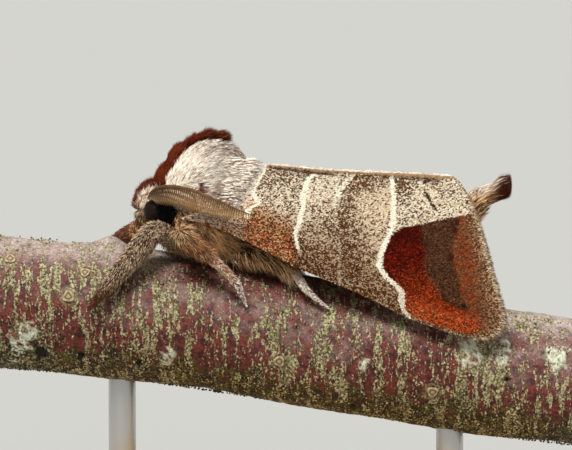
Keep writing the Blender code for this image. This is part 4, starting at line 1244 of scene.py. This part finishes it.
def make_fringe(name, side):
    """Hair scales that stand out from the hind edge of a forewing, and a short row along its costa."""
    draw = np.random.default_rng(SEEDS["fringe"] + side)
    count = COUNTS["fringe"]
    t = draw.uniform(0.02, 1.0, count)
    s = 1 - np.abs(draw.normal(size=count)) * 0.006
    points = forewing_point(s, t, side)
    ahead = unit(points - forewing_point(s - 0.01, t, side))
    aside = forewing_point(s, np.minimum(t + 0.01, 1), side) - forewing_point(s, t - 0.01, side)
    outs = wing_outs(ahead, aside, side)
    ahead = unit(ahead + 0.7 * unit(aside) * ramp(t, 0.8, 1.0)[:, None])
    band = draw.random(count)
    tint = mix(ink("fringe"), ink("scale_dark"), 0.6 * (band > 0.7))
    tint = mix(tint, ink("scale_pale"), (band < 0.5) * 0.8)
    lengths = np.interp(t, (0, 0.12, 0.4, 1), (0.1, 0.14, 0.28, 0.3))
    grow_hair(f"fringe_{name}", points, ahead, outs, np.stack([s, t], -1), lengths, 0.02, tint * 0.8, tint,
              draw, (f"forewing_{name}",), thick=1.1)


def make_antennae():
    """Comb antennae: a thin shaft with two rows of fine teeth that hang from it."""
    # Horn: smooth, slightly waxy, amber where it is thin
    material = tinted_material("antenna_horn", 0.08, 0.004, 0.15, Roughness=0.65, Specular_IOR_Level=0.15)
    for name, side in SIDES.items():
        path = [(x, side * y, z) for x, y, z in ANTENNA_PATH]
        surface, along = limb(path, (0.1, 0.09, 0.08, 0.07, 0.05, 0.03))
        shaft = sphere(f"shaft_{name}", surface, 12, 90)
        dull = 0.3 * grain(vertices(shaft), 0.2, 8)
        store(shaft, "tint", mix(ink("scale_dark") * 0.7, ink("horn"), dull))
        shaft.data.uv_layers[0].name = "OFBake"
        middle, _ = limb(path, (0.001, 0.001))
        fine = np.linspace(0.01, 0.99, 400)
        steps = np.linalg.norm(np.diff(middle(0 * fine, fine), axis=0)[:, ::2], axis=1)
        travel = np.concatenate([[0], np.cumsum(steps)])
        stations = np.interp(np.linspace(0, 1, 50), travel / travel[-1], fine)
        places = middle(0 * stations, stations)
        ahead = along(stations)
        across = unit(np.cross(ahead, UP))
        down = unit(np.cross(ahead, across)) * np.sign(np.cross(ahead, across)[:, 2:3]) * -1
        teeth = []
        half_pitch = travel[-1] / 98
        level = unit(ahead * np.array([1, 0, 1]))
        wide = 1 + 0.5 * (1 - ramp(stations, 0.15, 0.5))[:, None]
        beside = np.cross(level, down)
        for row in (-1, 1):
            deep = COMB_DEPTH(stations)[:, None]
            for share, width in ((0.0, 0.024), (0.35, 0.022), (0.75, 0.018), (1.0, 0.008)):
                spread = across * row * (0.04 + 0.14 * np.sin(share * np.pi * 0.6))
                onward = half_pitch * (row * side > 0) + 0.12 * share * share
                centre = places + down * deep * share + spread + level * onward
                for corner in ((-1, -1), (1, -1), (1, 1), (-1, 1)):
                    teeth.append(centre + wide * width * (level * corner[0] + beside * 0.9 * corner[1]))
        count = len(stations)
        block = np.array(teeth).reshape(2, 4, 4, count, 3).transpose(0, 3, 1, 2, 4).reshape(-1, 3)
        faces = [(0, 3, 2, 1), (12, 13, 14, 15)]
        for ring in (0, 4, 8):
            for i in range(4):
                j = (i + 1) % 4
                faces.append((ring + i, ring + j, ring + 4 + j, ring + 4 + i))
        every = (np.arange(2 * count)[:, None, None] * 16 + np.array(faces)[None]).reshape(-1, 4)
        comb = new_object(f"comb_{name}", block, every)
        way = np.tile(np.repeat(stations, 16), 2)
        down_share = np.tile(np.repeat([0.0, 0.35, 0.75, 1.0], 4), 2 * count)
        # Each tooth is painted darker near the shaft, where the gaps between the teeth are in shade: painted
        # shade. The browner root third of the antenna is its own colour
        tint = mix(ink("horn") * 0.35, ink("horn") * 1.2, ramp(down_share, 0.0, 0.7))
        near_root = mix(ink("umber") * 0.15, ink("fawn") * 0.3, ramp(down_share, 0.1, 0.8))
        tint = mix(near_root, tint, 0.1 + 0.9 * ramp(way, 0.2, 0.55))
        store(comb, "tint", tint)
        unwrap(comb, island_margin=0.001)
        antenna = joined(f"antenna_{name}", [shaft, comb])
        antenna.data.shade_smooth()
        finish(antenna, material, (f"antenna_{name}",))


def make_eyes():
    """Domed compound eyes with fine facets."""
    # Cornea: hard, nearly black, dulled by its facets. They are drawn 0.05 mm across, coarser than real
    material, tree, shader = new_material("eye_cornea", Roughness=0.3, Specular_IOR_Level=0.12)
    place = add_node(tree, "ShaderNodeTexCoord").outputs["Object"]
    cells = add_node(tree, "ShaderNodeTexVoronoi", [
        ("Vector", place), ("Scale", 1 / (0.05 * MM)),
    ]).outputs["Distance"]
    bump = add_node(tree, "ShaderNodeBump", [("Height", cells), ("Distance", 0.006 * MM)], invert=True)
    shade = add_node(tree, "ShaderNodeMix", [
        (0, cells), (6, (*ink("eye"), 1)), (7, (*(ink("eye") * 2.6), 1)),
    ], data_type="RGBA")
    feed(tree, shader, [("Base Color", shade.outputs[2]), ("Normal", bump.outputs["Normal"])])
    for name, side in SIDES.items():
        eye = primitive(
            f"eye_{name}", bpy.ops.mesh.primitive_uv_sphere_add, segments=48, ring_count=32, radius=1)
        centre = np.array([EYE_CENTRE[0], side * EYE_CENTRE[1], EYE_CENTRE[2]])
        reshape(eye, lambda points: centre + points * EYE_HALF)
        eye.data.shade_smooth()
        finish(eye, material, (f"eye_{name}",))


# Place along, height and radius of each mark on the near side of the bark
LENTICELS = (
    (-11.96, 11.4, 0.24), (-8.7, 10.83, 0.22), (-9.4, 9.83, 0.26), (-0.3, 7.0, 0.25),
    (6.35, 5.65, 0.25),
)
FLAKES = (
    (-11.45, 7.55, 0.55), (-11.2, 8.3, 0.4), (-5.1, 7.1, 0.3), (7.9, 7.45, 0.6), (9.5, 7.3, 0.45),
    (11.8, 7.0, 0.5), (3.4, 6.9, 0.3),
)
PITS = ((-10.65, 7.26, 0.36), (-8.9, 7.17, 0.17), (-6.39, 6.83, 0.2), (2.9, 4.9, 0.16), (9.6, 6.2, 0.15))


def bark_marks(points):
    """Masks of the bark at each point: grey film, lichen, dark crust below, lenticels and pits."""
    x, y, z = points.T
    level, radius = PERCH_LEVEL(x), PERCH_RADIUS(x)
    around = np.arctan2(z - level, -y)
    height = (z - level) / radius
    wrap = np.stack([x, around * radius, 0 * x], -1)
    film = grain(wrap, (2.2, 1.6, 1), 81) * 0.6 + grain(wrap, (0.4, 0.5, 1), 82) * 0.4
    # The film grows towards the top of the twig: partly the weathered film, partly painted light on the lit
    # top
    film = ramp(film + 0.5 * height, 0.45, 0.95)
    # Painted shadow under the moth: the grey film is thinned on the near upper bark below its body, so that
    # the red skin shows dark there
    shadow_under_moth = ramp(height, 0.55, 0.75) * ramp(5.2 - np.abs(x + 0.2), 0, 1.2) * (y < 0.3)
    film = film * (1 - 0.9 * shadow_under_moth)
    bent = wrap + np.array([0.25, 0, 0]) * (grain(wrap, (0.8, 0.5, 1), 86) - 0.5)[:, None]
    streak = grain(bent, (0.16, 1.3, 1), 83) * 0.6 + grain(bent, (0.5, 1.6, 1), 84) * 0.4
    streak = ramp(streak, 0.41, 0.75) * (1 - 0.5 * ramp(height, 0.4, 0.9))
    bald = np.exp(-(((x + 2.4) / 1.7) ** 2) - ((z - 9.4) / 0.8) ** 2) * (y < 0)
    streak = streak * (1 - 0.9 * bald)
    patchy = 0.5 * grain(wrap, (0.8, 1.0, 1), 85) + 0.5 * grain(wrap, (0.2, 0.5, 1), 88)
    crust = 1 - ramp(height + 1.1 * (patchy - 0.5), -0.75, -0.35)
    spots, rings, holes, flakes = np.zeros((4, len(points)))
    near = 10 * (y > 0.5)
    for place_x, place_z, size in LENTICELS:
        away = np.hypot(x - place_x, z - place_z) / size + near
        spots = np.maximum(spots, 1 - ramp(away, 0.8, 1.1))
        rings = np.maximum(rings, ramp(away, 1.0, 1.2) * (1 - ramp(away, 1.3, 1.7)))
    for place_x, place_z, size in PITS:
        holes = np.maximum(holes, 1 - ramp(np.hypot(x - place_x, z - place_z) / size + near, 0.7, 1.05))
    for place_x, place_z, size in FLAKES:
        away = np.hypot(x - place_x, (z - place_z) * 0.8) / size + 1.4 * (grain(wrap, 0.3, 87) - 0.5) + near
        flakes = np.maximum(flakes, 1 - ramp(away, 0.75, 0.95))
    return film, streak, crust, spots, rings, holes, flakes


def make_twig():
    """The cut twig: smooth red skin under a grey film, streaked with lichen round its girth."""
    relief = bpy.context.scene.moth_looks.bark_relief / MM
    columns, rows = 288, 200
    twig = primitive(
        "perch", bpy.ops.mesh.primitive_grid_add, x_subdivisions=columns, y_subdivisions=rows, size=2)
    flat = vertices(twig)
    row = np.round((flat[:, 0] + 1) / 2 * columns)
    turn = flat[:, 1] * np.pi
    inside = np.clip((row - 14) / (columns - 28), 0, 1) * 2 - 1
    cap = np.clip(np.minimum(row, columns - row) / 14, 0, 1)
    x = inside * PERCH_HALF
    slope = math.atan2(float(PERCH_LEVEL(1)) - float(PERCH_LEVEL(-1)), 2)
    angle = turn + np.pi / 2

    def place(reach):
        side = np.stack([-np.sin(slope) * np.sin(angle), np.cos(angle), np.cos(slope) * np.sin(angle)], -1)
        return np.stack([x, 0 * x, PERCH_LEVEL(x)], -1) + side * reach[:, None]

    station = (x / PERCH_HALF + 1) * 15
    swell = np.sin(station * 0.7 + 2 * angle) + np.sin(station * 0.4 - 3 * angle + 1)
    off_scar = np.hypot((x + 8.2) / 0.6, turn / 0.35)
    radius = PERCH_RADIUS(x) + 0.45 * relief * swell + 0.4 * np.exp(-(off_scar**2))
    base = place(radius)
    film, streak, crust, spots, rings, holes, flakes = bark_marks(base)
    fine = grain(base, 0.18, 91) - 0.5
    coarse = grain(base, 0.6, 92) - 0.5
    radius += 0.05 * fine + 0.08 * coarse + 0.05 * rings + 0.03 * spots + 0.05 * flakes - 0.16 * holes
    saw = 0.1 * (grain(np.stack([0 * x, np.cos(angle) * cap, np.sin(angle) * cap], -1), 0.12, 93) - 0.5)
    points = place(radius * cap**0.9)
    points[:, 0] += np.where(cap < 1, np.sign(inside) * saw * (1 - cap), 0)
    reshape(twig, lambda _: points)
    speck, hue = ranked(grain(base, 0.14, 94)), grain(base, 0.3, 96)
    tint = mix(ink("bark_red"), ink("bark_red") * 0.25, ramp(speck, 0.5, 0.85) * 0.9)
    grey = mix(ink("bark_grey"), ink("bark_grey") * 0.6, ramp(speck, 0.75, 0.95))
    # Grey film strongest on the top of the twig: partly the film itself, partly painted light on the lit top
    rise = ramp((base[:, 2] - PERCH_LEVEL(x)) / PERCH_RADIUS(x), 0.6, 0.95)
    tint = mix(tint, grey, film * (0.04 + 0.2 * ramp(hue, 0.25, 0.6) + 0.56 * rise))
    # Dark underside: partly crust and algae, partly painted shade of the twig's underside
    low = mix(ink("bark_low") * 0.6, ink("moss") * 0.8, ramp(speck, 0.35, 0.6) * ramp(hue, 0.2, 0.5))
    tint = mix(tint, low, 0.92 * crust)
    tint = mix(tint, ink("flake"), 0.85 * flakes * ramp(speck, 0.1, 0.3))
    tint = mix(tint, mix(ink("lichen"), ink("moss"), 0.4), 0.6 * rings)
    tint = mix(tint, ink("bark_red") * 0.5, 0.5 * spots)
    # Pits painted nearly black: painted shade in the holes
    tint = mix(tint, ink("bark_low") * 0.12, holes)
    # Sawn end: growth rings 0.35 mm apart round a small dark pith, and a rim of bark
    wobble = grain(np.stack([2 * np.cos(angle), 2 * np.sin(angle), 0 * x], -1), 1, 97)
    away = cap * PERCH_RADIUS(x) + 0.1 * wobble
    rings_cut = ramp(np.abs((away / 0.35) % 1 - 0.5), 0.3, 0.5)
    dusk = 0.6 * rings_cut + 0.4 * ramp(grain(points, 0.15, 98), 0.5, 0.8)
    wood = mix(ink("wood") * 0.85, ink("wood") * 0.5, dusk)
    wood = mix(wood, ink("bark_low"), 1 - ramp(away, 0.15, 0.28))
    wood = mix(ink("bark_red") * 0.5, wood, 1 - ramp(cap, 0.88, 0.95))
    store(twig, "tint", mix(tint, wood, cap < 1))
    bare = (1 - spots) * (1 - holes) * (1 - 0.6 * flakes) * (cap >= 1)
    store(twig, "cover", np.stack([streak * bare, crust * (1 - holes), bare], -1))
    unwrap(twig, merge=0.001, angle_limit=1.1, island_margin=0.002)
    twig.data.shade_smooth()
    finish(twig, bark_material(), ("perch",))
    make_lenticels(points)
    make_lichen()


def make_lenticels(surface):
    """Breathing pores of the bark: a corky middle in a pale raised ring, each turned from one outline."""
    outline = (
        (0.0, 0.08), (0.25, 0.09), (0.4, 0.05), (0.52, 0.03), (0.68, 0.08), (0.85, 0.08), (1.0, 0.0),
        (0.95, -0.4), (0.0, -0.4)
    )
    corky = mix(ink("patch_orange"), ink("lichen"), 0.7)
    groove = mix(ink("bark_low"), ink("moss"), 0.6)
    pale = mix(ink("lichen"), ink("fawn"), 0.4)
    along = np.array([1.0, 0, 0])
    points, shades, faces, segments = [], [], [], 20
    for place_x, place_z, size in LENTICELS:
        near = np.hypot(surface[:, 0] - place_x, surface[:, 2] - place_z) + 9.0 * (surface[:, 1] > 0)
        centre = np.array([place_x, surface[near.argmin(), 1], place_z])
        out = unit(np.array([0.0, centre[1], place_z - float(PERCH_LEVEL(place_x))]))
        side = np.cross(out, along)
        first = len(points)
        for step, (reach, rise) in enumerate(outline):
            for i in range(segments):
                turn = 2 * math.pi * i / segments
                ripple = 0.12 * math.sin(3 * turn + 5 * place_x) + 0.08 * math.sin(7 * turn + step)
                around = math.cos(turn) * along + math.sin(turn) * side
                points.append(centre + size * reach * (1 + ripple) * around + out * (rise * size + 0.03))
                shade = pale * (0.8 + 0.3 * math.sin(4 * turn + step))
                shades.append(corky if step < 2 else groove if step < 4 else shade)
            if step:
                for i in range(segments):
                    j = (i + 1) % segments
                    low, high = first + (step - 1) * segments, first + step * segments
                    faces.append((low + i, high + i, high + j, low + j))
    obj = new_object("lenticels", np.array(points), np.array(faces))
    store(obj, "tint", np.array(shades))
    unwrap(obj, merge=0.0005, island_margin=0.01)
    obj.data.shade_smooth()
    # Cork of the pores: soft, matt, a little darker in its pits
    finish(obj, tinted_material("pore_cork", 0.06, 0.006, 0.2, Roughness=0.9), ("perch",))


def bark_material():
    """Bark: thin waxy red skin, with dry lichen in wavering streaks round the twig, and grit.

    The streaks are drawn 0.2 mm wide and the grit 0.1 mm, coarser than on a real twig, so that they show.
    """
    material, tree, shader = new_material("twig_bark", Roughness=0.6, Specular_IOR_Level=0.3)
    place = add_node(tree, "ShaderNodeTexCoord").outputs["Object"]
    tint = add_node(tree, "ShaderNodeAttribute", attribute_name="tint").outputs["Color"]
    cover = add_node(tree, "ShaderNodeAttribute", attribute_name="cover").outputs["Color"]
    masks = add_node(tree, "ShaderNodeSeparateXYZ", [("Vector", cover)]).outputs
    drawn = add_node(tree, "ShaderNodeMapping", [
        ("Vector", place), ("Scale", [1 / (size * MM) for size in (0.2, 0.7, 0.7)]),
    ]).outputs["Vector"]
    waver = add_node(tree, "ShaderNodeTexNoise", [
        ("Vector", drawn), ("Scale", 1.0), ("Detail", 3.0), ("Roughness", 0.62), ("Distortion", 1.2),
    ]).outputs["Fac"]
    grit = add_node(tree, "ShaderNodeTexNoise", [
        ("Vector", place), ("Scale", 1 / (0.1 * MM)), ("Detail", 2.0), ("Roughness", 0.7),
    ]).outputs["Fac"]
    # The lichen lies where the streaks' mask, the grit and the waver together pass a limit
    ragged = add_node(tree, "ShaderNodeMath", [(0, grit), (1, 0.3), (2, waver)], operation="MULTIPLY_ADD")
    sway = add_node(tree, "ShaderNodeMath", [
        (0, masks["X"]), (1, 0.17), (2, ragged.outputs["Value"]),
    ], operation="MULTIPLY_ADD")
    edge = add_node(tree, "ShaderNodeMapRange", [
        ("Value", sway.outputs["Value"]), ("From Min", 0.71), ("From Max", 0.77),
    ])
    share = add_node(tree, "ShaderNodeMath", [
        (0, edge.outputs["Result"]), (1, masks["Z"]),
    ], operation="MULTIPLY").outputs["Value"]
    # The grit also sets the lichen's hue, and darkens the skin and the crust where it is low: painted shade
    # in the pores and between the crumbs, which also have dark and pale tones of their own
    hue, pores, crumbs = (
        add_node(tree, "ShaderNodeMapRange", [
            ("Value", grit), ("From Min", low), ("From Max", high), ("To Min", dark), ("To Max", light),
        ]).outputs["Result"]
        for low, high, dark, light in ((0.4, 0.66, 0, 1), (0.36, 0.6, 0.6, 1.25), (0.42, 0.58, 0.15, 1.7))
    )
    pale = add_node(tree, "ShaderNodeMix", [
        (0, hue), (6, (*ink("moss"), 1)), (7, (*ink("lichen"), 1)),
    ], data_type="RGBA").outputs[2]
    coated = add_node(tree, "ShaderNodeMix", [(0, share), (6, tint), (7, pale)], data_type="RGBA").outputs[2]
    # Painted shade of the pores and crumbs, as a multiplier of the colour
    depth = add_node(tree, "ShaderNodeMix", [
        (0, masks["Y"]), (2, pores), (3, crumbs),
    ], data_type="FLOAT").outputs[0]
    shaded = add_node(tree, "ShaderNodeVectorMath", [(0, coated), (1, depth)], operation="MULTIPLY")
    height = add_node(tree, "ShaderNodeMath", [(0, share), (1, grit)], operation="ADD").outputs["Value"]
    bump = add_node(tree, "ShaderNodeBump", [("Height", height), ("Distance", 0.025 * MM)])
    feed(tree, shader, [("Base Color", shaded.outputs["Vector"]), ("Normal", bump.outputs["Normal"])])
    return material


def make_lichen():
    """Crumbs of lichen, thickest along the streaks of the bark. Each is a small closed lump."""
    draw = np.random.default_rng(SEEDS["lichen"])
    count = 90000  # places tried
    x = draw.uniform(-PERCH_HALF + 0.1, PERCH_HALF - 0.1, count)
    angle = draw.uniform(-np.pi, np.pi, count)
    radius = PERCH_RADIUS(x) + 0.03
    outs = np.stack([0.15 * np.sin(angle), -np.cos(angle), np.sin(angle)], -1)
    points = np.stack([x, -np.cos(angle) * radius, PERCH_LEVEL(x) + np.sin(angle) * radius], -1)
    _, streak, crust, spots, _, holes, flakes = bark_marks(points)
    chance = 0.03 + 0.5 * streak**2 + 0.35 * crust * grain(points, 0.35, 402) + 0.3 * flakes
    keep = np.where(draw.random(count) < chance * (1 - holes) * (1 - spots) * 0.4)[0][:8000]
    points, outs, total = points[keep], unit(outs[keep]), len(keep)
    across = unit(np.cross(outs, [1.0, 0, 0]))
    along = np.cross(across, outs)
    size = draw.uniform(0.02, 0.06, (total, 1))
    long = draw.uniform(1.0, 2.4, (total, 1))
    turned = draw.normal(scale=0.4, size=(total, 1))
    first = (across * np.cos(turned) + along * np.sin(turned)) * size * long
    second = (along * np.cos(turned) - across * np.sin(turned)) * size
    corners = np.stack([
        points + first, points + second, points - first, points - second, points + outs * size * 0.9,
        points - outs * 0.06,
    ], 1)
    sides = ((0, 1), (1, 2), (2, 3), (3, 0))
    faces = np.array([(i, j, 4) for i, j in sides] + [(j, i, 5) for i, j in sides])
    every = outward_faces(corners, faces)
    obj = new_object("lichen", corners.reshape(-1, 3), every)
    hue = draw.random(total)
    tint = mix(ink("lichen"), ink("moss"), ramp(hue, 0.3, 0.8))
    tint = mix(tint, ink("bark_low"), 0.85 * crust[keep] * (hue > 0.25))
    tint *= draw.uniform(0.6, 1.1, (total, 1))
    store(obj, "tint", np.repeat(tint, 6, axis=0))
    centres = np.stack([(x[keep] / PERCH_HALF + 1) / 2, (angle[keep] / np.pi + 1) / 2], -1)
    set_patches(obj, centres, [(1, 0), (0, 1), (-1, 0), (0, -1), (0.2, 0.2), (-0.2, -0.2)], every)
    # Lichen: dry crumbly crust, fully matt
    finish(obj, tinted_material("lichen_crust", 0.04, 0.006, 0.2, Roughness=0.95), ("perch",))


def eased(name, add, width, segments, **settings):
    """A primitive whose edges are rounded by that width."""
    obj = primitive(name, add, **settings)
    bpy.ops.object.transform_apply(location=True, rotation=True, scale=True)
    apply_modifier(obj, "eased edges", "BEVEL", width=width, segments=segments, limit_method="ANGLE")
    return obj


def finish_eased(obj, material, nodes):
    """Smooth faces that stay sharp at corners, then finished like every piece."""
    unwrap(obj, island_margin=0.01)
    obj.data.shade_smooth()
    obj.data.set_sharp_from_angle(angle=math.radians(50))
    finish(obj, material, nodes)


def make_stand():
    """A plain beech base with eased edges, and two steel rods with collars."""
    thick = BASE_SIZE[2]
    # Beech: pale, straight grained, with short darker rays, sealed with a thin oil
    beech, tree, shader, lines = lined_material(
        "beech_oiled", (0.1, 1.0, 1.0), 0.22, 0.01, [("Detail", 5.0), ("Roughness", 0.65)],
        Roughness=0.42, Coat_Weight=0.15, Coat_Roughness=0.3,
    )
    tones = add_node(tree, "ShaderNodeValToRGB", [("Fac", lines)])
    for element, place, dim in zip(tones.color_ramp.elements, (0.25, 0.6), (0.7, 1.0)):
        element.position = place
        element.color = (*(ink("wood") * dim), 1)
    feed(tree, shader, [("Base Color", tones.outputs["Color"])])
    base = eased(
        "stand_base", bpy.ops.mesh.primitive_cube_add, 0.3, 4, size=1, location=(0, 0, thick / 2),
        scale=BASE_SIZE)
    finish_eased(base, beech, ("stand_base",))
    # Stainless steel rod: brushed round its girth
    steel, *_ = lined_material(
        "steel_brushed", (0.2, 0.2, 3.0), 0.12, 0.004, Metallic=1.0, Roughness=0.34,
        Base_Color=(*linear("c9c9c7"), 1),
    )
    for name, x in zip(("front", "rear"), ROD_X):
        top = float(PERCH_LEVEL(x) - PERCH_RADIUS(x)) + ROD_IN_TWIG
        low = thick - ROD_IN_BASE
        pieces = []
        for radius, bottom, height in ((ROD_RADIUS, low, top - low), (ROD_RADIUS + 0.35, thick - 0.02, 0.4)):
            pieces.append(eased(
                "rod_piece", bpy.ops.mesh.primitive_cylinder_add, 0.08, 3, vertices=64, radius=radius,
                depth=height, location=(x, 0, bottom + height / 2)))
        rod = joined(f"stand_rod_{name}", pieces)
        finish_eased(rod, steel, (f"stand_rod_{name}",))


VIEW_TARGET = (0.0, -1.5, 12.83)
VIEW_DISTANCE = 180.0
VIEW_RISE = math.radians(4)
VIEW_WIDTH = 24.87  # millimetres across the picture at the target


# Each lamp's name, the direction it shines from, its strength and its width in degrees
LAMPS = (("key", (-0.25, -0.75, 1.0), 3.95, 22), ("top", (0.5, 0.3, 1.0), 1.3, 30))


def hold(name, data, back):
    """A lamp or a camera that looks away from the direction back."""
    holder = bpy.data.objects.new(name, data)
    holder.rotation_euler = (-Vector(back)).to_track_quat("-Z", "Y").to_euler()
    bpy.context.scene.collection.objects.link(holder)
    return holder


def make_studio():
    """A wide pale floor, soft lamps, and the camera of the photograph."""
    floor = primitive("studio_floor", bpy.ops.mesh.primitive_plane_add, size=8, location=(0, 0, 0))
    # Background paper: smooth and fully matt
    paper = (*ink("paper"), 1)
    material, *_ = new_material("studio_paper", Roughness=0.9, Specular_IOR_Level=0.2, Base_Color=paper)
    floor.data.materials.append(material)
    for name, place, strength, soft in LAMPS:
        lamp = bpy.data.lights.new(name, "SUN")
        lamp.energy = strength
        lamp.angle = math.radians(soft)
        hold(name, lamp, place)
    world = bpy.data.worlds.new("studio")
    world.use_nodes = True
    sky = world.node_tree.nodes["Background"]
    feed(world.node_tree, sky, [("Color", (1.0, 0.98, 0.95, 1)), ("Strength", 0.46)])
    bpy.context.scene.world = world
    bpy.context.scene.view_settings.view_transform = "Standard"
    camera = bpy.data.cameras.new("camera")
    camera.sensor_width = 36
    camera.lens = 36 * VIEW_DISTANCE / VIEW_WIDTH
    camera.clip_start = 0.01
    back = Vector((0, -math.cos(VIEW_RISE), math.sin(VIEW_RISE)))
    holder = hold("camera", camera, back)
    holder.location = Vector(VIEW_TARGET) * MM + back * VIEW_DISTANCE * MM
    bpy.context.scene.camera = holder


class MOTH_OT_studio(bpy.types.Operator):
    """Floor, lamps and camera"""

    bl_idname = "moth.studio"
    bl_label = "Studio"

    def execute(self, context):
        make_studio()
        return {"FINISHED"}


class MOTH_OT_twig(bpy.types.Operator):
    """The twig with its bark and lichen"""

    bl_idname = "moth.twig"
    bl_label = "Twig"

    def execute(self, context):
        make_twig()
        return {"FINISHED"}


class MOTH_OT_stand(bpy.types.Operator):
    """The base and rods"""

    bl_idname = "moth.stand"
    bl_label = "Stand"

    def execute(self, context):
        make_stand()
        return {"FINISHED"}


class MOTH_OT_skin(bpy.types.Operator):
    """The body's skin"""

    bl_idname = "moth.skin"
    bl_label = "Skin"

    def execute(self, context):
        make_skin()
        return {"FINISHED"}


class MOTH_OT_coat(bpy.types.Operator):
    """Hair of the thorax, head, legs and tail"""

    bl_idname = "moth.coat"
    bl_label = "Coat"

    def execute(self, context):
        make_thorax_coat()
        make_head_coat()
        make_leg_coat()
        make_tail_coat()
        make_wing_base_coat()
        return {"FINISHED"}


class MOTH_OT_wings(bpy.types.Operator):
    """Wings with their scales and fringes"""

    bl_idname = "moth.wings"
    bl_label = "Wings"

    def execute(self, context):
        make_wings()
        return {"FINISHED"}


class MOTH_OT_antennae(bpy.types.Operator):
    """The comb antennae"""

    bl_idname = "moth.antennae"
    bl_label = "Antennae"

    def execute(self, context):
        make_antennae()
        return {"FINISHED"}


class MOTH_OT_eyes(bpy.types.Operator):
    """The eyes"""

    bl_idname = "moth.eyes"
    bl_label = "Eyes"

    def execute(self, context):
        make_eyes()
        return {"FINISHED"}


OPERATORS = (
    MOTH_OT_studio, MOTH_OT_twig, MOTH_OT_stand, MOTH_OT_skin, MOTH_OT_coat, MOTH_OT_wings, MOTH_OT_antennae,
    MOTH_OT_eyes,
)


class MOTH_PT_panel(bpy.types.Panel):
    """Lists the moth's pieces in the order that they are made"""

    bl_idname = "MOTH_PT_panel"
    bl_label = "Moth"
    bl_space_type = "VIEW_3D"
    bl_region_type = "UI"
    bl_category = "Moth"

    def draw(self, context):
        looks = context.scene.moth_looks
        for key in looks.bl_rna.properties.keys():
            if key not in {"rna_type", "name"}:
                self.layout.prop(looks, key)
        for operator in OPERATORS:
            self.layout.operator(operator.bl_idname)


CLASSES = (MothLooks, *OPERATORS, MOTH_PT_panel)


def register():
    """Registers the classes and the settings."""
    for item in CLASSES:
        bpy.utils.register_class(item)
    bpy.types.Scene.moth_looks = bpy.props.PointerProperty(type=MothLooks)


def unregister():
    """Takes the settings and the classes away again."""
    del bpy.types.Scene.moth_looks
    for item in reversed(CLASSES):
        bpy.utils.unregister_class(item)


def main():
    """Makes every piece."""
    register()
    bpy.ops.moth.studio()
    bpy.ops.moth.twig()
    bpy.ops.moth.stand()
    bpy.ops.moth.skin()
    bpy.ops.moth.coat()
    bpy.ops.moth.wings()
    bpy.ops.moth.antennae()
    bpy.ops.moth.eyes()


if __name__ == "__main__":
    main()
